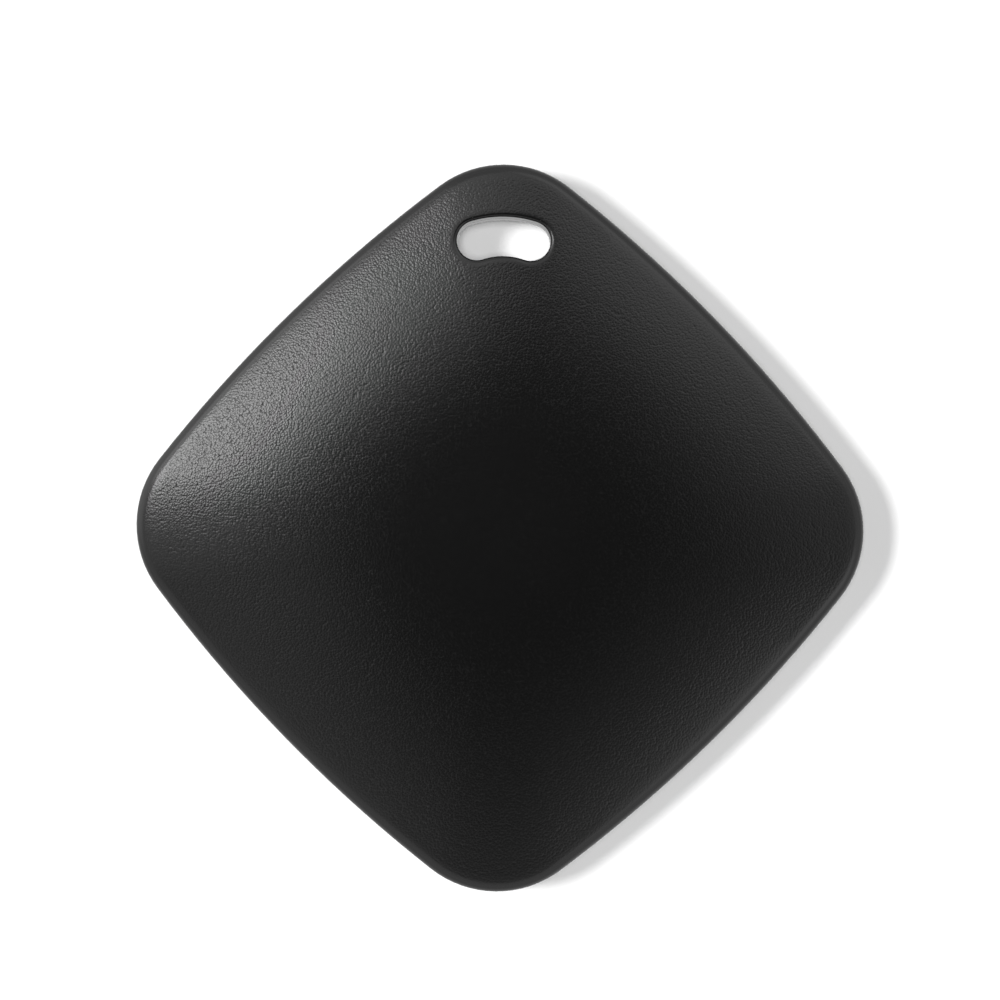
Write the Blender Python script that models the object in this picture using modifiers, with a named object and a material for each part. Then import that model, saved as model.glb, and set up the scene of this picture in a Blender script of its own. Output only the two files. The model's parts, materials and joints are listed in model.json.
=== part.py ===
"""A bluetooth tracker tag: a pillow-shaped rounded-square case with a keyring hole in one corner.

It lies on its back. +Z points out of its front face, +Y from its middle to the keyring hole, and the origin
is the middle of the flat land that it rests on. Lengths are in metres.
"""

import math

import bmesh
import bpy
from mathutils import Matrix, Vector
from mathutils.geometry import delaunay_2d_cdt

MM = 0.001

# Case outline: a square stood on its corner, with round corners and slightly bowed sides
ACROSS_FLATS = 39.0 * MM
CORNER_RADIUS = 6.9 * MM
SIDE_RADIUS = 96.5 * MM
CORNER_STEPS = 8
SIDE_STEPS = 6

# Case section
THICKNESS = 9.6 * MM
SEAM_GAP = 0.3 * MM
WALL = 1.2 * MM
RIM_HEIGHT = 1.2 * MM
EDGE_ROUND = 0.65 * MM
EDGE_STEPS = 3
DOME_POWER = 2.6
REAR_DOME_EXTRA = 0.2 * MM

# Keyring hole: two round ends joined by an arch above and a bump below
HOLE_Y = 18.6 * MM
HOLE_END_X = 1.74 * MM
HOLE_END_RADIUS = 1.3 * MM
HOLE_ARCH_RISE = 1.56 * MM
HOLE_BUMP_DROP = 1.01 * MM

# Inside
AIR = 0.05 * MM
BOARD_BOTTOM = 3.05 * MM
BOARD_THICKNESS = 0.8 * MM
BOARD_INSET = 4.3 * MM
BOARD_TOP_Y = 14.8 * MM
SCREW_REACH = 13.25 * MM
SCREW_RADIUS = 0.65 * MM
SCREW_HEAD_RADIUS = 1.2 * MM
SCREW_HEAD_HEIGHT = 0.6 * MM
SCREW_LENGTH = 2.0 * MM
BOSS_RADIUS = 1.6 * MM
BOSS_BOTTOM = 1.5 * MM
PILOT_BOTTOM = 1.75 * MM
CELL_BOTTOM = 4.3 * MM
CELL_HEIGHT = 3.2 * MM
CELL_RADIUS = 10.0 * MM
HOLDER_INNER = 10.15 * MM
HOLDER_WALL = 0.6 * MM
HOLDER_TOP = 6.9 * MM
FRAME_INSET = 1.35 * MM
FRAME_WIDTH = 0.9 * MM
FRAME_BOTTOM = 4.1 * MM
FRAME_TOP = 5.3 * MM
FRAME_TOP_Y = 15.9 * MM
SEAL_INSET = 1.6 * MM
SEAL_THICKNESS = 0.33 * MM
PIEZO_RADIUS = 7.5 * MM
PIEZO_LAYER = 0.2 * MM
CERAMIC_RADIUS = 5.5 * MM
SWITCH_REACH = 14.3 * MM
SWITCH_SIDE = 3.2 * MM
SWITCH_BASE_HEIGHT = 0.5 * MM
SWITCH_BASE_FLOOR = 0.12 * MM
SWITCH_POCKET_RADIUS = 1.3 * MM
SWITCH_DOME_RISE = 0.25 * MM
SWITCH_DOME_SHEET = 0.06 * MM
SWITCH_COVER_THICKNESS = 0.12 * MM
SWITCH_PLUNGER_RADIUS = 0.7 * MM
SWITCH_TOP = 5.0 * MM
POST_RADIUS = 1.1 * MM
POST_TOP = 7.9 * MM
PAD_RADIUS = 6.5 * MM
PAD_THICKNESS = 0.35 * MM
POSITIVE_ANGLE = 112.5
FINGER_ANGLE = -67.5

# Worked out from the above
SIDE_SHIFT = SIDE_RADIUS - ACROSS_FLATS / 2
SIDE_CENTRE = -SIDE_SHIFT / math.sqrt(2)
CORNER_CENTRE = math.sqrt((SIDE_RADIUS - CORNER_RADIUS) ** 2 - SIDE_CENTRE**2) + SIDE_CENTRE
HALF_DIAGONAL = CORNER_CENTRE + CORNER_RADIUS
MEET_ANGLE = math.degrees(math.atan2(-SIDE_CENTRE, CORNER_CENTRE - SIDE_CENTRE))
MEET_RADIANS = math.radians(MEET_ANGLE)
CORNER_SPREAD = math.atan2(
    CORNER_RADIUS * math.sin(MEET_RADIANS), CORNER_CENTRE + CORNER_RADIUS * math.cos(MEET_RADIANS)
)
MEAN_RADIUS = (ACROSS_FLATS / 2 + HALF_DIAGONAL) / 2
REAR_TOP = (THICKNESS - SEAM_GAP) / 2
FRONT_BOTTOM = REAR_TOP + SEAM_GAP
FRONT_DOME = REAR_TOP - RIM_HEIGHT - EDGE_ROUND
REAR_DOME = FRONT_DOME + REAR_DOME_EXTRA
LAND_LEVEL = (REAR_DOME_EXTRA / REAR_DOME) ** (1 / DOME_POWER)
HOLE_ARCH_RADIUS = (HOLE_END_X**2 + HOLE_ARCH_RISE**2 - HOLE_END_RADIUS**2) / (
    2 * (HOLE_ARCH_RISE - HOLE_END_RADIUS)
)
HOLE_BUMP_RADIUS = (HOLE_END_X**2 + HOLE_BUMP_DROP**2 - HOLE_END_RADIUS**2) / (
    2 * (HOLE_END_RADIUS - HOLE_BUMP_DROP)
)
BOARD_TOP = BOARD_BOTTOM + BOARD_THICKNESS
MOUNT_Z = BOARD_TOP + AIR
CELL_TOP = CELL_BOTTOM + CELL_HEIGHT
SWITCH_FLOOR = MOUNT_Z + SWITCH_BASE_FLOOR
PIEZO_TOP = WALL + 2 * AIR + 2 * PIEZO_LAYER
CERAMIC_TOP = PIEZO_TOP + AIR + PIEZO_LAYER

# Name: base colour, roughness, metallic
FINISHES = {
    "case_plastic": ((0.012, 0.012, 0.013), 0.55, 0.0),
    "frame_plastic": ((0.03, 0.03, 0.032), 0.5, 0.0),
    "holder_plastic": ((0.02, 0.02, 0.022), 0.45, 0.0),
    "seal_rubber": ((0.05, 0.05, 0.052), 0.8, 0.0),
    "board_laminate": ((0.01, 0.06, 0.03), 0.4, 0.0),
    "cell_steel": ((0.6, 0.6, 0.59), 0.3, 1.0),
    "gasket_nylon": ((0.35, 0.35, 0.33), 0.6, 0.0),
    "foam": ((0.04, 0.04, 0.042), 0.95, 0.0),
    "spring_steel": ((0.62, 0.6, 0.55), 0.3, 1.0),
    "brass": ((0.72, 0.5, 0.2), 0.35, 1.0),
    "piezo_ceramic": ((0.7, 0.68, 0.62), 0.5, 0.0),
    "tape": ((0.75, 0.74, 0.7), 0.7, 0.0),
    "chip_epoxy": ((0.015, 0.015, 0.016), 0.5, 0.0),
    "crystal_can": ((0.65, 0.63, 0.58), 0.35, 1.0),
    "antenna_ceramic": ((0.75, 0.77, 0.8), 0.45, 0.0),
    "ferrite": ((0.06, 0.06, 0.062), 0.6, 0.0),
    "capacitor_ceramic": ((0.32, 0.22, 0.14), 0.45, 0.0),
    "resistor_body": ((0.02, 0.02, 0.024), 0.4, 0.0),
    "switch_plastic": ((0.03, 0.03, 0.03), 0.5, 0.0),
    "plunger_plastic": ((0.7, 0.7, 0.68), 0.5, 0.0),
    "screw_steel": ((0.5, 0.5, 0.5), 0.35, 1.0),
}


# Outlines


def arc(centre, radius, start, end, steps):
    """Points along an arc with both its ends. The angles are in degrees."""
    points = []
    for step in range(steps + 1):
        angle = math.radians(start + (end - start) * step / steps)
        points.append((centre[0] + radius * math.cos(angle), centre[1] + radius * math.sin(angle)))
    return points


def turned(point, degrees):
    """A flat point, turned anticlockwise about the middle of the tag."""
    angle = math.radians(degrees)
    x, y = point
    return (x * math.cos(angle) - y * math.sin(angle), x * math.sin(angle) + y * math.cos(angle))


def case_outline(inset):
    """The outline of the case, moved in by inset."""
    corner = arc((CORNER_CENTRE, 0), CORNER_RADIUS - inset, -MEET_ANGLE, MEET_ANGLE, CORNER_STEPS)
    side = arc((SIDE_CENTRE, SIDE_CENTRE), SIDE_RADIUS - inset, MEET_ANGLE, 90 - MEET_ANGLE, SIDE_STEPS)
    quarter = corner[:-1] + side[:-1]
    return [turned(point, 90 * count) for count in range(4) for point in quarter]


def kept_below(outline, top):
    """The part of a closed outline under the line y = top."""
    kept = []
    for (x0, y0), (x1, y1) in zip(outline, outline[1:] + outline[:1]):
        if y0 <= top:
            kept.append((x0, y0))
        if (y0 <= top) != (y1 <= top):
            kept.append((x0 + (x1 - x0) * (top - y0) / (y1 - y0), top))
    return kept


def hole_outline():
    """The keyring hole, anticlockwise from the foot of its right end."""
    arch = (0, HOLE_Y + HOLE_ARCH_RISE - HOLE_ARCH_RADIUS)
    bump = (0, HOLE_Y - HOLE_BUMP_DROP - HOLE_BUMP_RADIUS)
    to_arch = math.degrees(math.atan2(HOLE_Y - arch[1], HOLE_END_X))
    to_bump = math.degrees(math.atan2(HOLE_Y - bump[1], HOLE_END_X))
    right = arc((HOLE_END_X, HOLE_Y), HOLE_END_RADIUS, to_bump - 180, to_arch, 7)
    above = arc(arch, HOLE_ARCH_RADIUS, to_arch, 180 - to_arch, 5)
    left = arc((-HOLE_END_X, HOLE_Y), HOLE_END_RADIUS, 180 - to_arch, 360 - to_bump, 7)
    below = arc(bump, HOLE_BUMP_RADIUS, 180 - to_bump, to_bump, 4)
    return right[:-1] + above[:-1] + left[:-1] + below[:-1]


def circle(centre, radius, steps):
    return arc(centre, radius, 0, 360, steps)[:-1]


def inside(point, outline):
    """Whether a point lies inside a closed outline."""
    x, y = point
    found = False
    for (x0, y0), (x1, y1) in zip(outline, outline[1:] + outline[:1]):
        if (y0 > y) != (y1 > y) and x < x0 + (x1 - x0) * (y - y0) / (y1 - y0):
            found = not found
    return found


# The pillow shape of the case


def edge_distance(angle):
    """How far the outline is from the middle, in the direction of angle."""
    from_corner = abs((angle + math.pi / 4) % (math.pi / 2) - math.pi / 4)
    if from_corner < CORNER_SPREAD:
        across = CORNER_CENTRE * math.sin(from_corner)
        return CORNER_CENTRE * math.cos(from_corner) + math.sqrt(CORNER_RADIUS**2 - across**2)
    from_flat = math.pi / 4 - from_corner
    across = SIDE_SHIFT * math.sin(from_flat)
    return math.sqrt(SIDE_RADIUS**2 - across**2) - SIDE_SHIFT * math.cos(from_flat)


def level_of(x, y):
    """0 in the middle and 1 on the outline. Lines of equal level are round near the middle."""
    reach = math.hypot(x, y)
    edge = edge_distance(math.atan2(y, x))
    share = reach / edge
    return share * (share + (1 - share) * edge / MEAN_RADIUS)


def level_ring(level, count):
    """Points round the line of equal level."""
    points = []
    for step in range(count):
        angle = 2 * math.pi * (step + 0.5) / count
        edge = edge_distance(angle)
        stretch = edge / MEAN_RADIUS
        root = math.sqrt(stretch**2 + 4 * (1 - stretch) * level)
        share = 2 * level / (stretch + root)
        points.append((share * edge * math.cos(angle), share * edge * math.sin(angle)))
    return points


def inset_of(x, y):
    """How far a point lies inside the outline."""
    angle = math.atan2(y, x)
    from_corner = abs((angle + math.pi / 4) % (math.pi / 2) - math.pi / 4)
    reach = math.hypot(x, y)
    along = reach * math.cos(from_corner)
    across = reach * math.sin(from_corner)
    if math.atan2(across - SIDE_CENTRE, along - SIDE_CENTRE) > MEET_RADIANS:
        return SIDE_RADIUS - math.hypot(along - SIDE_CENTRE, across - SIDE_CENTRE)
    return CORNER_RADIUS - math.hypot(along - CORNER_CENTRE, across)


def skin_height(x, y, dome):
    """Height of the outer face above the parting plane: the rim, the rounded edge, then the dome."""
    from_round = max(0.0, EDGE_ROUND - max(0.0, inset_of(x, y)))
    edge = RIM_HEIGHT + math.sqrt(max(0.0, EDGE_ROUND**2 - from_round**2))
    rise = dome * (1 - min(1.0, level_of(x, y)) ** DOME_POWER)
    return edge + min(rise, FRONT_DOME)


# Objects


def new_collection(name):
    collection = bpy.data.collections.new(name)
    bpy.context.scene.collection.children.link(collection)
    return collection


def finish_of(name):
    """The material of this name, made on first use."""
    if name in bpy.data.materials:
        return bpy.data.materials[name]
    colour, roughness, metallic = FINISHES[name]
    material = bpy.data.materials.new(name)
    material.use_nodes = True
    shader = material.node_tree.nodes["Principled BSDF"]
    shader.inputs["Base Color"].default_value = (*colour, 1)
    shader.inputs["Roughness"].default_value = roughness
    shader.inputs["Metallic"].default_value = metallic
    return material


def add_part(name, data, finish):
    part = bpy.data.objects.new(name, data)
    data.materials.append(finish_of(finish))
    PARTS.objects.link(part)
    return part


def add_cutter(name, data):
    """A helper for a Boolean, left out of the solids."""
    cutter = bpy.data.objects.new(name, data)
    cutter.hide_render = True
    cutter.display_type = "WIRE"
    CUTTERS.objects.link(cutter)
    return cutter


def box_mesh(name, size):
    mesh = bpy.data.meshes.new(name)
    work = bmesh.new()
    bmesh.ops.create_cube(work, size=1, matrix=Matrix.Diagonal((*size, 1)))
    work.to_mesh(mesh)
    work.free()
    return mesh


def cylinder_mesh(name, radius, height, steps):
    """A cylinder that stands on its origin."""
    mesh = bpy.data.meshes.new(name)
    work = bmesh.new()
    bmesh.ops.create_cone(
        work,
        cap_ends=True,
        segments=steps,
        radius1=radius,
        radius2=radius,
        depth=height,
        matrix=Matrix.Translation((0, 0, height / 2)),
    )
    work.to_mesh(mesh)
    work.free()
    return mesh


def add_boolean(part, other, operation):
    change = part.modifiers.new(other.name, "BOOLEAN")
    change.operation = operation
    change.object = other


def add_box(name, size, place, degrees, finish, bevel):
    """A block with softened edges. Its place is the middle of its underside."""
    part = add_part(name, box_mesh(name, size), finish)
    part.location = (place[0], place[1], place[2] + size[2] / 2)
    part.rotation_euler = (0, 0, math.radians(degrees))
    rounding = part.modifiers.new("edges", "BEVEL")
    rounding.width = bevel
    rounding.segments = 1
    return part


def add_plate(name, outlines, bottom, thickness, finish):
    """A flat piece: the first outline is its edge, the others are holes through it."""
    curve = bpy.data.curves.new(name, "CURVE")
    curve.dimensions = "2D"
    curve.fill_mode = "BOTH"
    curve.extrude = thickness / 2
    for outline in outlines:
        spline = curve.splines.new("POLY")
        spline.points.add(len(outline) - 1)
        for point, (x, y) in zip(spline.points, outline):
            point.co = (x, y, 0, 1)
        spline.use_cyclic_u = True
    part = add_part(name, curve, finish)
    part.location = (0, 0, bottom + thickness / 2)
    return part


def add_turned(name, profile, steps, closed, finish):
    """A turned piece. Its profile of (radius, height) runs down the outer side."""
    mesh = bpy.data.meshes.new(name)
    edges = [(index, index + 1) for index in range(len(profile) - 1)]
    if closed:
        edges.append((len(profile) - 1, 0))
    mesh.from_pydata([(radius, 0, height) for radius, height in profile], edges, [])
    part = add_part(name, mesh, finish)
    turn = part.modifiers.new("turn", "SCREW")
    turn.steps = steps
    turn.render_steps = steps
    turn.use_merge_vertices = True
    turn.merge_threshold = 0.001 * MM
    turn.use_smooth_shade = True
    return part


def add_strip(name, profile, width, thickness, finish):
    """A bent metal strip. Its profile of (x, z) is the line that the sheet follows."""
    mesh = bpy.data.meshes.new(name)
    points = []
    for x, z in profile:
        points.append((x, -width / 2, z))
        points.append((x, width / 2, z))
    faces = [(2 * n, 2 * n + 1, 2 * n + 3, 2 * n + 2) for n in range(len(profile) - 1)]
    mesh.from_pydata(points, [], faces)
    part = add_part(name, mesh, finish)
    sheet = part.modifiers.new("sheet", "SOLIDIFY")
    sheet.thickness = thickness
    sheet.offset = 0
    sheet.use_even_offset = True
    return part


# The case


def skin_mesh(name, dome, levels):
    """The outer face of one case half with the walls at its rim and round the hole, an open surface."""
    outline_rings = []
    for step in range(EDGE_STEPS + 1):
        turn = math.radians(90 * step / EDGE_STEPS)
        outline_rings.append(case_outline(EDGE_ROUND * (1 - math.cos(turn))))
    hole = hole_outline()
    points = []
    edges = []
    for ring in [*outline_rings, hole]:
        first = len(points)
        points += ring
        edges += [(first + n, first + (n + 1) % len(ring)) for n in range(len(ring))]
    for level, count in levels:
        near_hole = HOLE_END_X + 2 * HOLE_END_RADIUS
        ring = level_ring(level, count)
        points += [point for point in ring if math.dist(point, (0, HOLE_Y)) > near_hole]
    found = delaunay_2d_cdt([Vector(point) for point in points], edges, [], 1, 1e-9)
    work = bmesh.new()
    corners = [work.verts.new((x, y, skin_height(x, y, dome))) for x, y in found[0]]
    for face in found[2]:
        middle = sum((found[0][index] for index in face), Vector((0, 0))) / len(face)
        if not inside(middle, hole):
            work.faces.new([corners[index] for index in face])
    bmesh.ops.delete(work, geom=[v for v in work.verts if not v.link_faces], context="VERTS")
    rims = [edge for edge in work.edges if edge.is_boundary]
    walls = bmesh.ops.extrude_edge_only(work, edges=rims)["geom"]
    for item in walls:
        if isinstance(item, bmesh.types.BMVert):
            item.co.z = 0
    bmesh.ops.recalc_face_normals(work, faces=work.faces)
    if max(work.faces, key=lambda face: face.calc_center_median().z).normal.z < 0:
        bmesh.ops.reverse_faces(work, faces=work.faces)
    mesh = bpy.data.meshes.new(name)
    work.to_mesh(mesh)
    work.free()
    return mesh


def add_cover(name, dome, levels):
    cover = add_part(name, skin_mesh(name, dome, levels), "case_plastic")
    wall = cover.modifiers.new("wall", "SOLIDIFY")
    wall.thickness = WALL
    wall.offset = -1
    wall.use_even_offset = True
    wall.use_quality_normals = True
    return cover


def make_front_cover():
    cover = add_cover("front_cover", FRONT_DOME, [(0.84, 40), (0.68, 32), (0.5, 24), (0.3, 12), (0, 1)])
    cover.location = (0, 0, FRONT_BOTTOM)
    post_bottom = SWITCH_TOP + AIR
    post = add_cutter("press_post", cylinder_mesh("press_post", POST_RADIUS, POST_TOP - post_bottom, 16))
    post.location = (0, -SWITCH_REACH, post_bottom)
    add_boolean(cover, post, "UNION")


def screw_places():
    return [turned((SCREW_REACH, 0), 45 + 90 * count) for count in range(4)]


def make_rear_cover():
    """The rear half, turned face down, with its screw bosses and the notch that opens the case."""
    cover = add_cover("rear_cover", REAR_DOME, [(0.84, 40), (0.68, 32), (0.5, 24), (LAND_LEVEL, 24)])
    cover.location = (0, 0, REAR_TOP)
    cover.rotation_euler = (0, math.pi, 0)
    boss_top = BOARD_BOTTOM - AIR
    for count, (x, y) in enumerate(screw_places(), 1):
        name = f"screw_boss_{count}"
        boss = add_cutter(name, cylinder_mesh(name, BOSS_RADIUS, boss_top - BOSS_BOTTOM, 16))
        boss.location = (x, y, BOSS_BOTTOM)
        add_boolean(cover, boss, "UNION")
    for count, (x, y) in enumerate(screw_places(), 1):
        name = f"pilot_{count}"
        pilot = add_cutter(name, cylinder_mesh(name, SCREW_RADIUS + 2 * AIR, BOARD_BOTTOM - PILOT_BOTTOM, 12))
        pilot.location = (x, y, PILOT_BOTTOM)
        add_boolean(cover, pilot, "DIFFERENCE")
    notch_size = (6 * MM, 1.2 * MM, 1.2 * MM)
    notch = add_cutter("pry_notch", box_mesh("pry_notch", notch_size))
    notch.location = (0, -HALF_DIAGONAL, REAR_TOP)
    add_boolean(cover, notch, "DIFFERENCE")


def make_frame_and_seal():
    """The ring that locates the front cover in the rear one, and the rubber ring under it."""
    outer = kept_below(case_outline(FRAME_INSET), FRAME_TOP_Y)
    inner = kept_below(case_outline(FRAME_INSET + FRAME_WIDTH), FRAME_TOP_Y - FRAME_WIDTH)
    add_plate("inner_frame", [outer, inner], FRAME_BOTTOM, FRAME_TOP - FRAME_BOTTOM, "frame_plastic")
    seal_step = SEAL_INSET - FRAME_INSET
    seal_outer = kept_below(case_outline(SEAL_INSET), FRAME_TOP_Y - seal_step)
    seal_bottom = FRAME_BOTTOM - AIR - SEAL_THICKNESS
    add_plate("case_seal", [seal_outer, inner], seal_bottom, SEAL_THICKNESS, "seal_rubber")


# The board and what is on it


def make_board():
    outline = kept_below(case_outline(BOARD_INSET), BOARD_TOP_Y)
    holes = [circle(place, SCREW_RADIUS + 2 * AIR, 12) for place in screw_places()]
    add_plate("main_pcb", [outline, *holes], BOARD_BOTTOM, BOARD_THICKNESS, "board_laminate")


def make_screws():
    """Four pan-head screws with a cross recess."""
    profile = [
        (0, MOUNT_Z + SCREW_HEAD_HEIGHT),
        (SCREW_HEAD_RADIUS - 0.3 * MM, MOUNT_Z + SCREW_HEAD_HEIGHT),
        (SCREW_HEAD_RADIUS, MOUNT_Z + SCREW_HEAD_HEIGHT / 2),
        (SCREW_HEAD_RADIUS, MOUNT_Z),
        (SCREW_RADIUS, MOUNT_Z),
        (SCREW_RADIUS, MOUNT_Z - SCREW_LENGTH + 0.2 * MM),
        (SCREW_RADIUS / 2, MOUNT_Z - SCREW_LENGTH),
        (0, MOUNT_Z - SCREW_LENGTH),
    ]
    for count, (x, y) in enumerate(screw_places(), 1):
        screw = add_turned(f"pcb_screw_{count}", profile, 16, False, "screw_steel")
        screw.location = (x, y, 0)
        for slot_count in range(2):
            name = f"recess_{count}_{slot_count}"
            slot = add_cutter(name, box_mesh(name, (1.3 * MM, 0.3 * MM, 0.7 * MM)))
            slot.location = (x, y, MOUNT_Z + SCREW_HEAD_HEIGHT)
            slot.rotation_euler = (0, 0, math.radians(20 + 90 * slot_count))
            add_boolean(screw, slot, "DIFFERENCE")


def make_chips():
    """Components that stand square to the board's edges, which lie at 45 degrees to X."""
    chips = [
        ("bluetooth_soc", (4.0, 4.0, 0.85), (-10.1, 10.1), "chip_epoxy"),
        ("main_crystal", (1.6, 2.0, 0.45), (-13.0, 6.2), "crystal_can"),
        ("clock_crystal", (3.2, 1.5, 0.8), (-5.9, 13.1), "crystal_can"),
        ("motion_sensor", (2.0, 2.0, 0.9), (12.9, 5.9), "chip_epoxy"),
        ("buzzer_driver", (2.0, 2.0, 0.75), (13.0, -6.0), "chip_epoxy"),
        ("boost_inductor", (3.0, 3.0, 1.3), (10.1, -10.1), "ferrite"),
        ("storage_capacitor", (3.2, 1.6, 1.2), (5.9, -13.1), "capacitor_ceramic"),
        ("capacitor_1", (0.6, 1.2, 0.6), (-13.5, 9.6), "capacitor_ceramic"),
        ("capacitor_2", (1.2, 0.6, 0.6), (-9.6, 13.5), "capacitor_ceramic"),
        ("capacitor_3", (0.6, 1.2, 0.6), (13.5, -9.6), "capacitor_ceramic"),
        ("capacitor_4", (1.2, 0.6, 0.6), (9.6, -13.5), "capacitor_ceramic"),
        ("resistor_1", (0.6, 1.2, 0.4), (-13.3, 3.6), "resistor_body"),
        ("resistor_2", (0.6, 1.2, 0.4), (-13.3, -5.6), "resistor_body"),
        ("resistor_3", (1.2, 0.6, 0.4), (-5.6, -13.3), "resistor_body"),
    ]
    for name, size, place, finish in chips:
        x, y = turned((place[0] * MM, place[1] * MM), 45)
        add_box(name, [side * MM for side in size], (x, y, MOUNT_Z), 45, finish, 0.06 * MM)
    antenna_size = (3.2 * MM, 1.6 * MM, 1.1 * MM)
    add_box("chip_antenna", antenna_size, (0, 13.3 * MM, MOUNT_Z), 0, "antenna_ceramic", 0.06 * MM)


def make_switch():
    """The push switch under the front cover's post, rim and dome inside a square tub."""
    place = (0, -SWITCH_REACH)
    half = SWITCH_SIDE / 2
    square = [(half, half), (-half, half), (-half, -half), (half, -half)]
    base_size = (SWITCH_SIDE, SWITCH_SIDE, SWITCH_BASE_HEIGHT)
    base = add_box("switch_base", base_size, (*place, MOUNT_Z), 45, "switch_plastic", 0.05 * MM)
    pocket = add_cutter(
        "switch_pocket", cylinder_mesh("switch_pocket", SWITCH_POCKET_RADIUS, SWITCH_BASE_HEIGHT, 24)
    )
    pocket.location = (*place, SWITCH_FLOOR)
    add_boolean(base, pocket, "DIFFERENCE")
    make_switch_dome(place)
    plate_bottom = MOUNT_Z + SWITCH_BASE_HEIGHT + AIR
    opening = circle((0, 0), SWITCH_PLUNGER_RADIUS + 2 * AIR, 16)
    plate = add_plate("switch_cover", [square, opening], plate_bottom, SWITCH_COVER_THICKNESS, "spring_steel")
    plate.location = (*place, plate_bottom + SWITCH_COVER_THICKNESS / 2)
    plate.rotation_euler = (0, 0, math.radians(45))
    plunger_bottom = SWITCH_FLOOR + AIR + SWITCH_DOME_RISE + SWITCH_DOME_SHEET + AIR
    plunger = add_turned(
        "switch_plunger",
        [
            (0, SWITCH_TOP),
            (SWITCH_PLUNGER_RADIUS - 0.1 * MM, SWITCH_TOP),
            (SWITCH_PLUNGER_RADIUS, SWITCH_TOP - 0.1 * MM),
            (SWITCH_PLUNGER_RADIUS, plunger_bottom),
            (0, plunger_bottom),
        ],
        16,
        False,
        "plunger_plastic",
    )
    plunger.location = (*place, 0)


def make_switch_dome(place):
    """A thin domed disc that snaps flat."""
    radius = SWITCH_POCKET_RADIUS - 2 * AIR
    low = SWITCH_FLOOR + AIR
    profile = []
    for share in (0, 0.35, 0.7, 1):
        profile.append((radius * share, low + SWITCH_DOME_SHEET + SWITCH_DOME_RISE * (1 - share**2)))
    for share in (1, 0.7, 0.35, 0):
        profile.append((radius * share, low + SWITCH_DOME_RISE * (1 - share**2)))
    dome = add_turned("switch_dome", profile, 24, False, "spring_steel")
    dome.location = (*place, 0)


# The cell and what touches it


def make_cell():
    """A coin cell, its can upwards: the can, the cap under it and the gasket between them."""
    sheet = 0.3 * MM
    corner = 0.4 * MM
    inner = CELL_RADIUS - sheet
    can = [
        (0, CELL_TOP),
        (CELL_RADIUS - corner, CELL_TOP),
        (CELL_RADIUS - 0.3 * corner, CELL_TOP - 0.3 * corner),
        (CELL_RADIUS, CELL_TOP - corner),
        (CELL_RADIUS, CELL_BOTTOM + 2 * corner),
        (CELL_RADIUS - corner, CELL_BOTTOM + 0.5 * corner),
        (CELL_RADIUS - 1.7 * corner, CELL_BOTTOM + 0.5 * corner),
        (CELL_RADIUS - 1.7 * corner, CELL_BOTTOM + corner),
        (inner, CELL_BOTTOM + 2.5 * corner),
        (inner, CELL_TOP - sheet),
        (0, CELL_TOP - sheet),
    ]
    add_turned("battery_can", can, 40, False, "cell_steel")
    cap_outer = CELL_RADIUS - 3 * corner
    cap_wall = CELL_RADIUS - 2.4 * corner
    cap = [
        (0, CELL_TOP - 2 * sheet),
        (cap_wall - sheet, CELL_TOP - 2 * sheet),
        (cap_wall - sheet, CELL_BOTTOM + 3 * corner),
        (cap_outer, CELL_BOTTOM + corner),
        (cap_outer, CELL_BOTTOM + 0.3 * corner),
        (cap_outer - 0.3 * corner, CELL_BOTTOM),
        (0, CELL_BOTTOM),
    ]
    add_turned("battery_cap", cap, 40, False, "cell_steel")
    gasket = [
        (cap_wall - sheet + 2 * AIR, CELL_TOP - 2 * sheet),
        (inner - AIR, CELL_TOP - 2 * sheet),
        (inner - AIR, CELL_BOTTOM + 3 * corner),
        (CELL_RADIUS - 1.9 * corner, CELL_BOTTOM + 1.4 * corner),
        (CELL_RADIUS - 1.9 * corner, CELL_BOTTOM + 0.8 * corner),
        (cap_outer + AIR, CELL_BOTTOM + 0.8 * corner),
        (cap_outer + AIR, CELL_BOTTOM + 1.2 * corner),
        (cap_wall - sheet + 2 * AIR, CELL_BOTTOM + 3 * corner),
    ]
    add_turned("battery_gasket", gasket, 40, True, "gasket_nylon")


def make_holder():
    """The ring that centres the cell, open to its side contact and to a fingertip opposite."""
    outer = HOLDER_INNER + HOLDER_WALL
    profile = [(HOLDER_INNER, HOLDER_TOP), (outer, HOLDER_TOP), (outer, MOUNT_Z), (HOLDER_INNER, MOUNT_Z)]
    holder = add_turned("battery_holder", profile, 40, True, "holder_plastic")
    for name, degrees in (("contact_window", POSITIVE_ANGLE), ("finger_notch", FINGER_ANGLE)):
        window = add_cutter(name, box_mesh(name, (3 * MM, 4.2 * MM, HOLDER_TOP)))
        x, y = turned((HOLDER_INNER, 0), degrees)
        window.location = (x, y, MOUNT_Z + 0.8 * MM + HOLDER_TOP / 2)
        window.rotation_euler = (0, 0, math.radians(degrees))
        add_boolean(holder, window, "DIFFERENCE")


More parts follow.
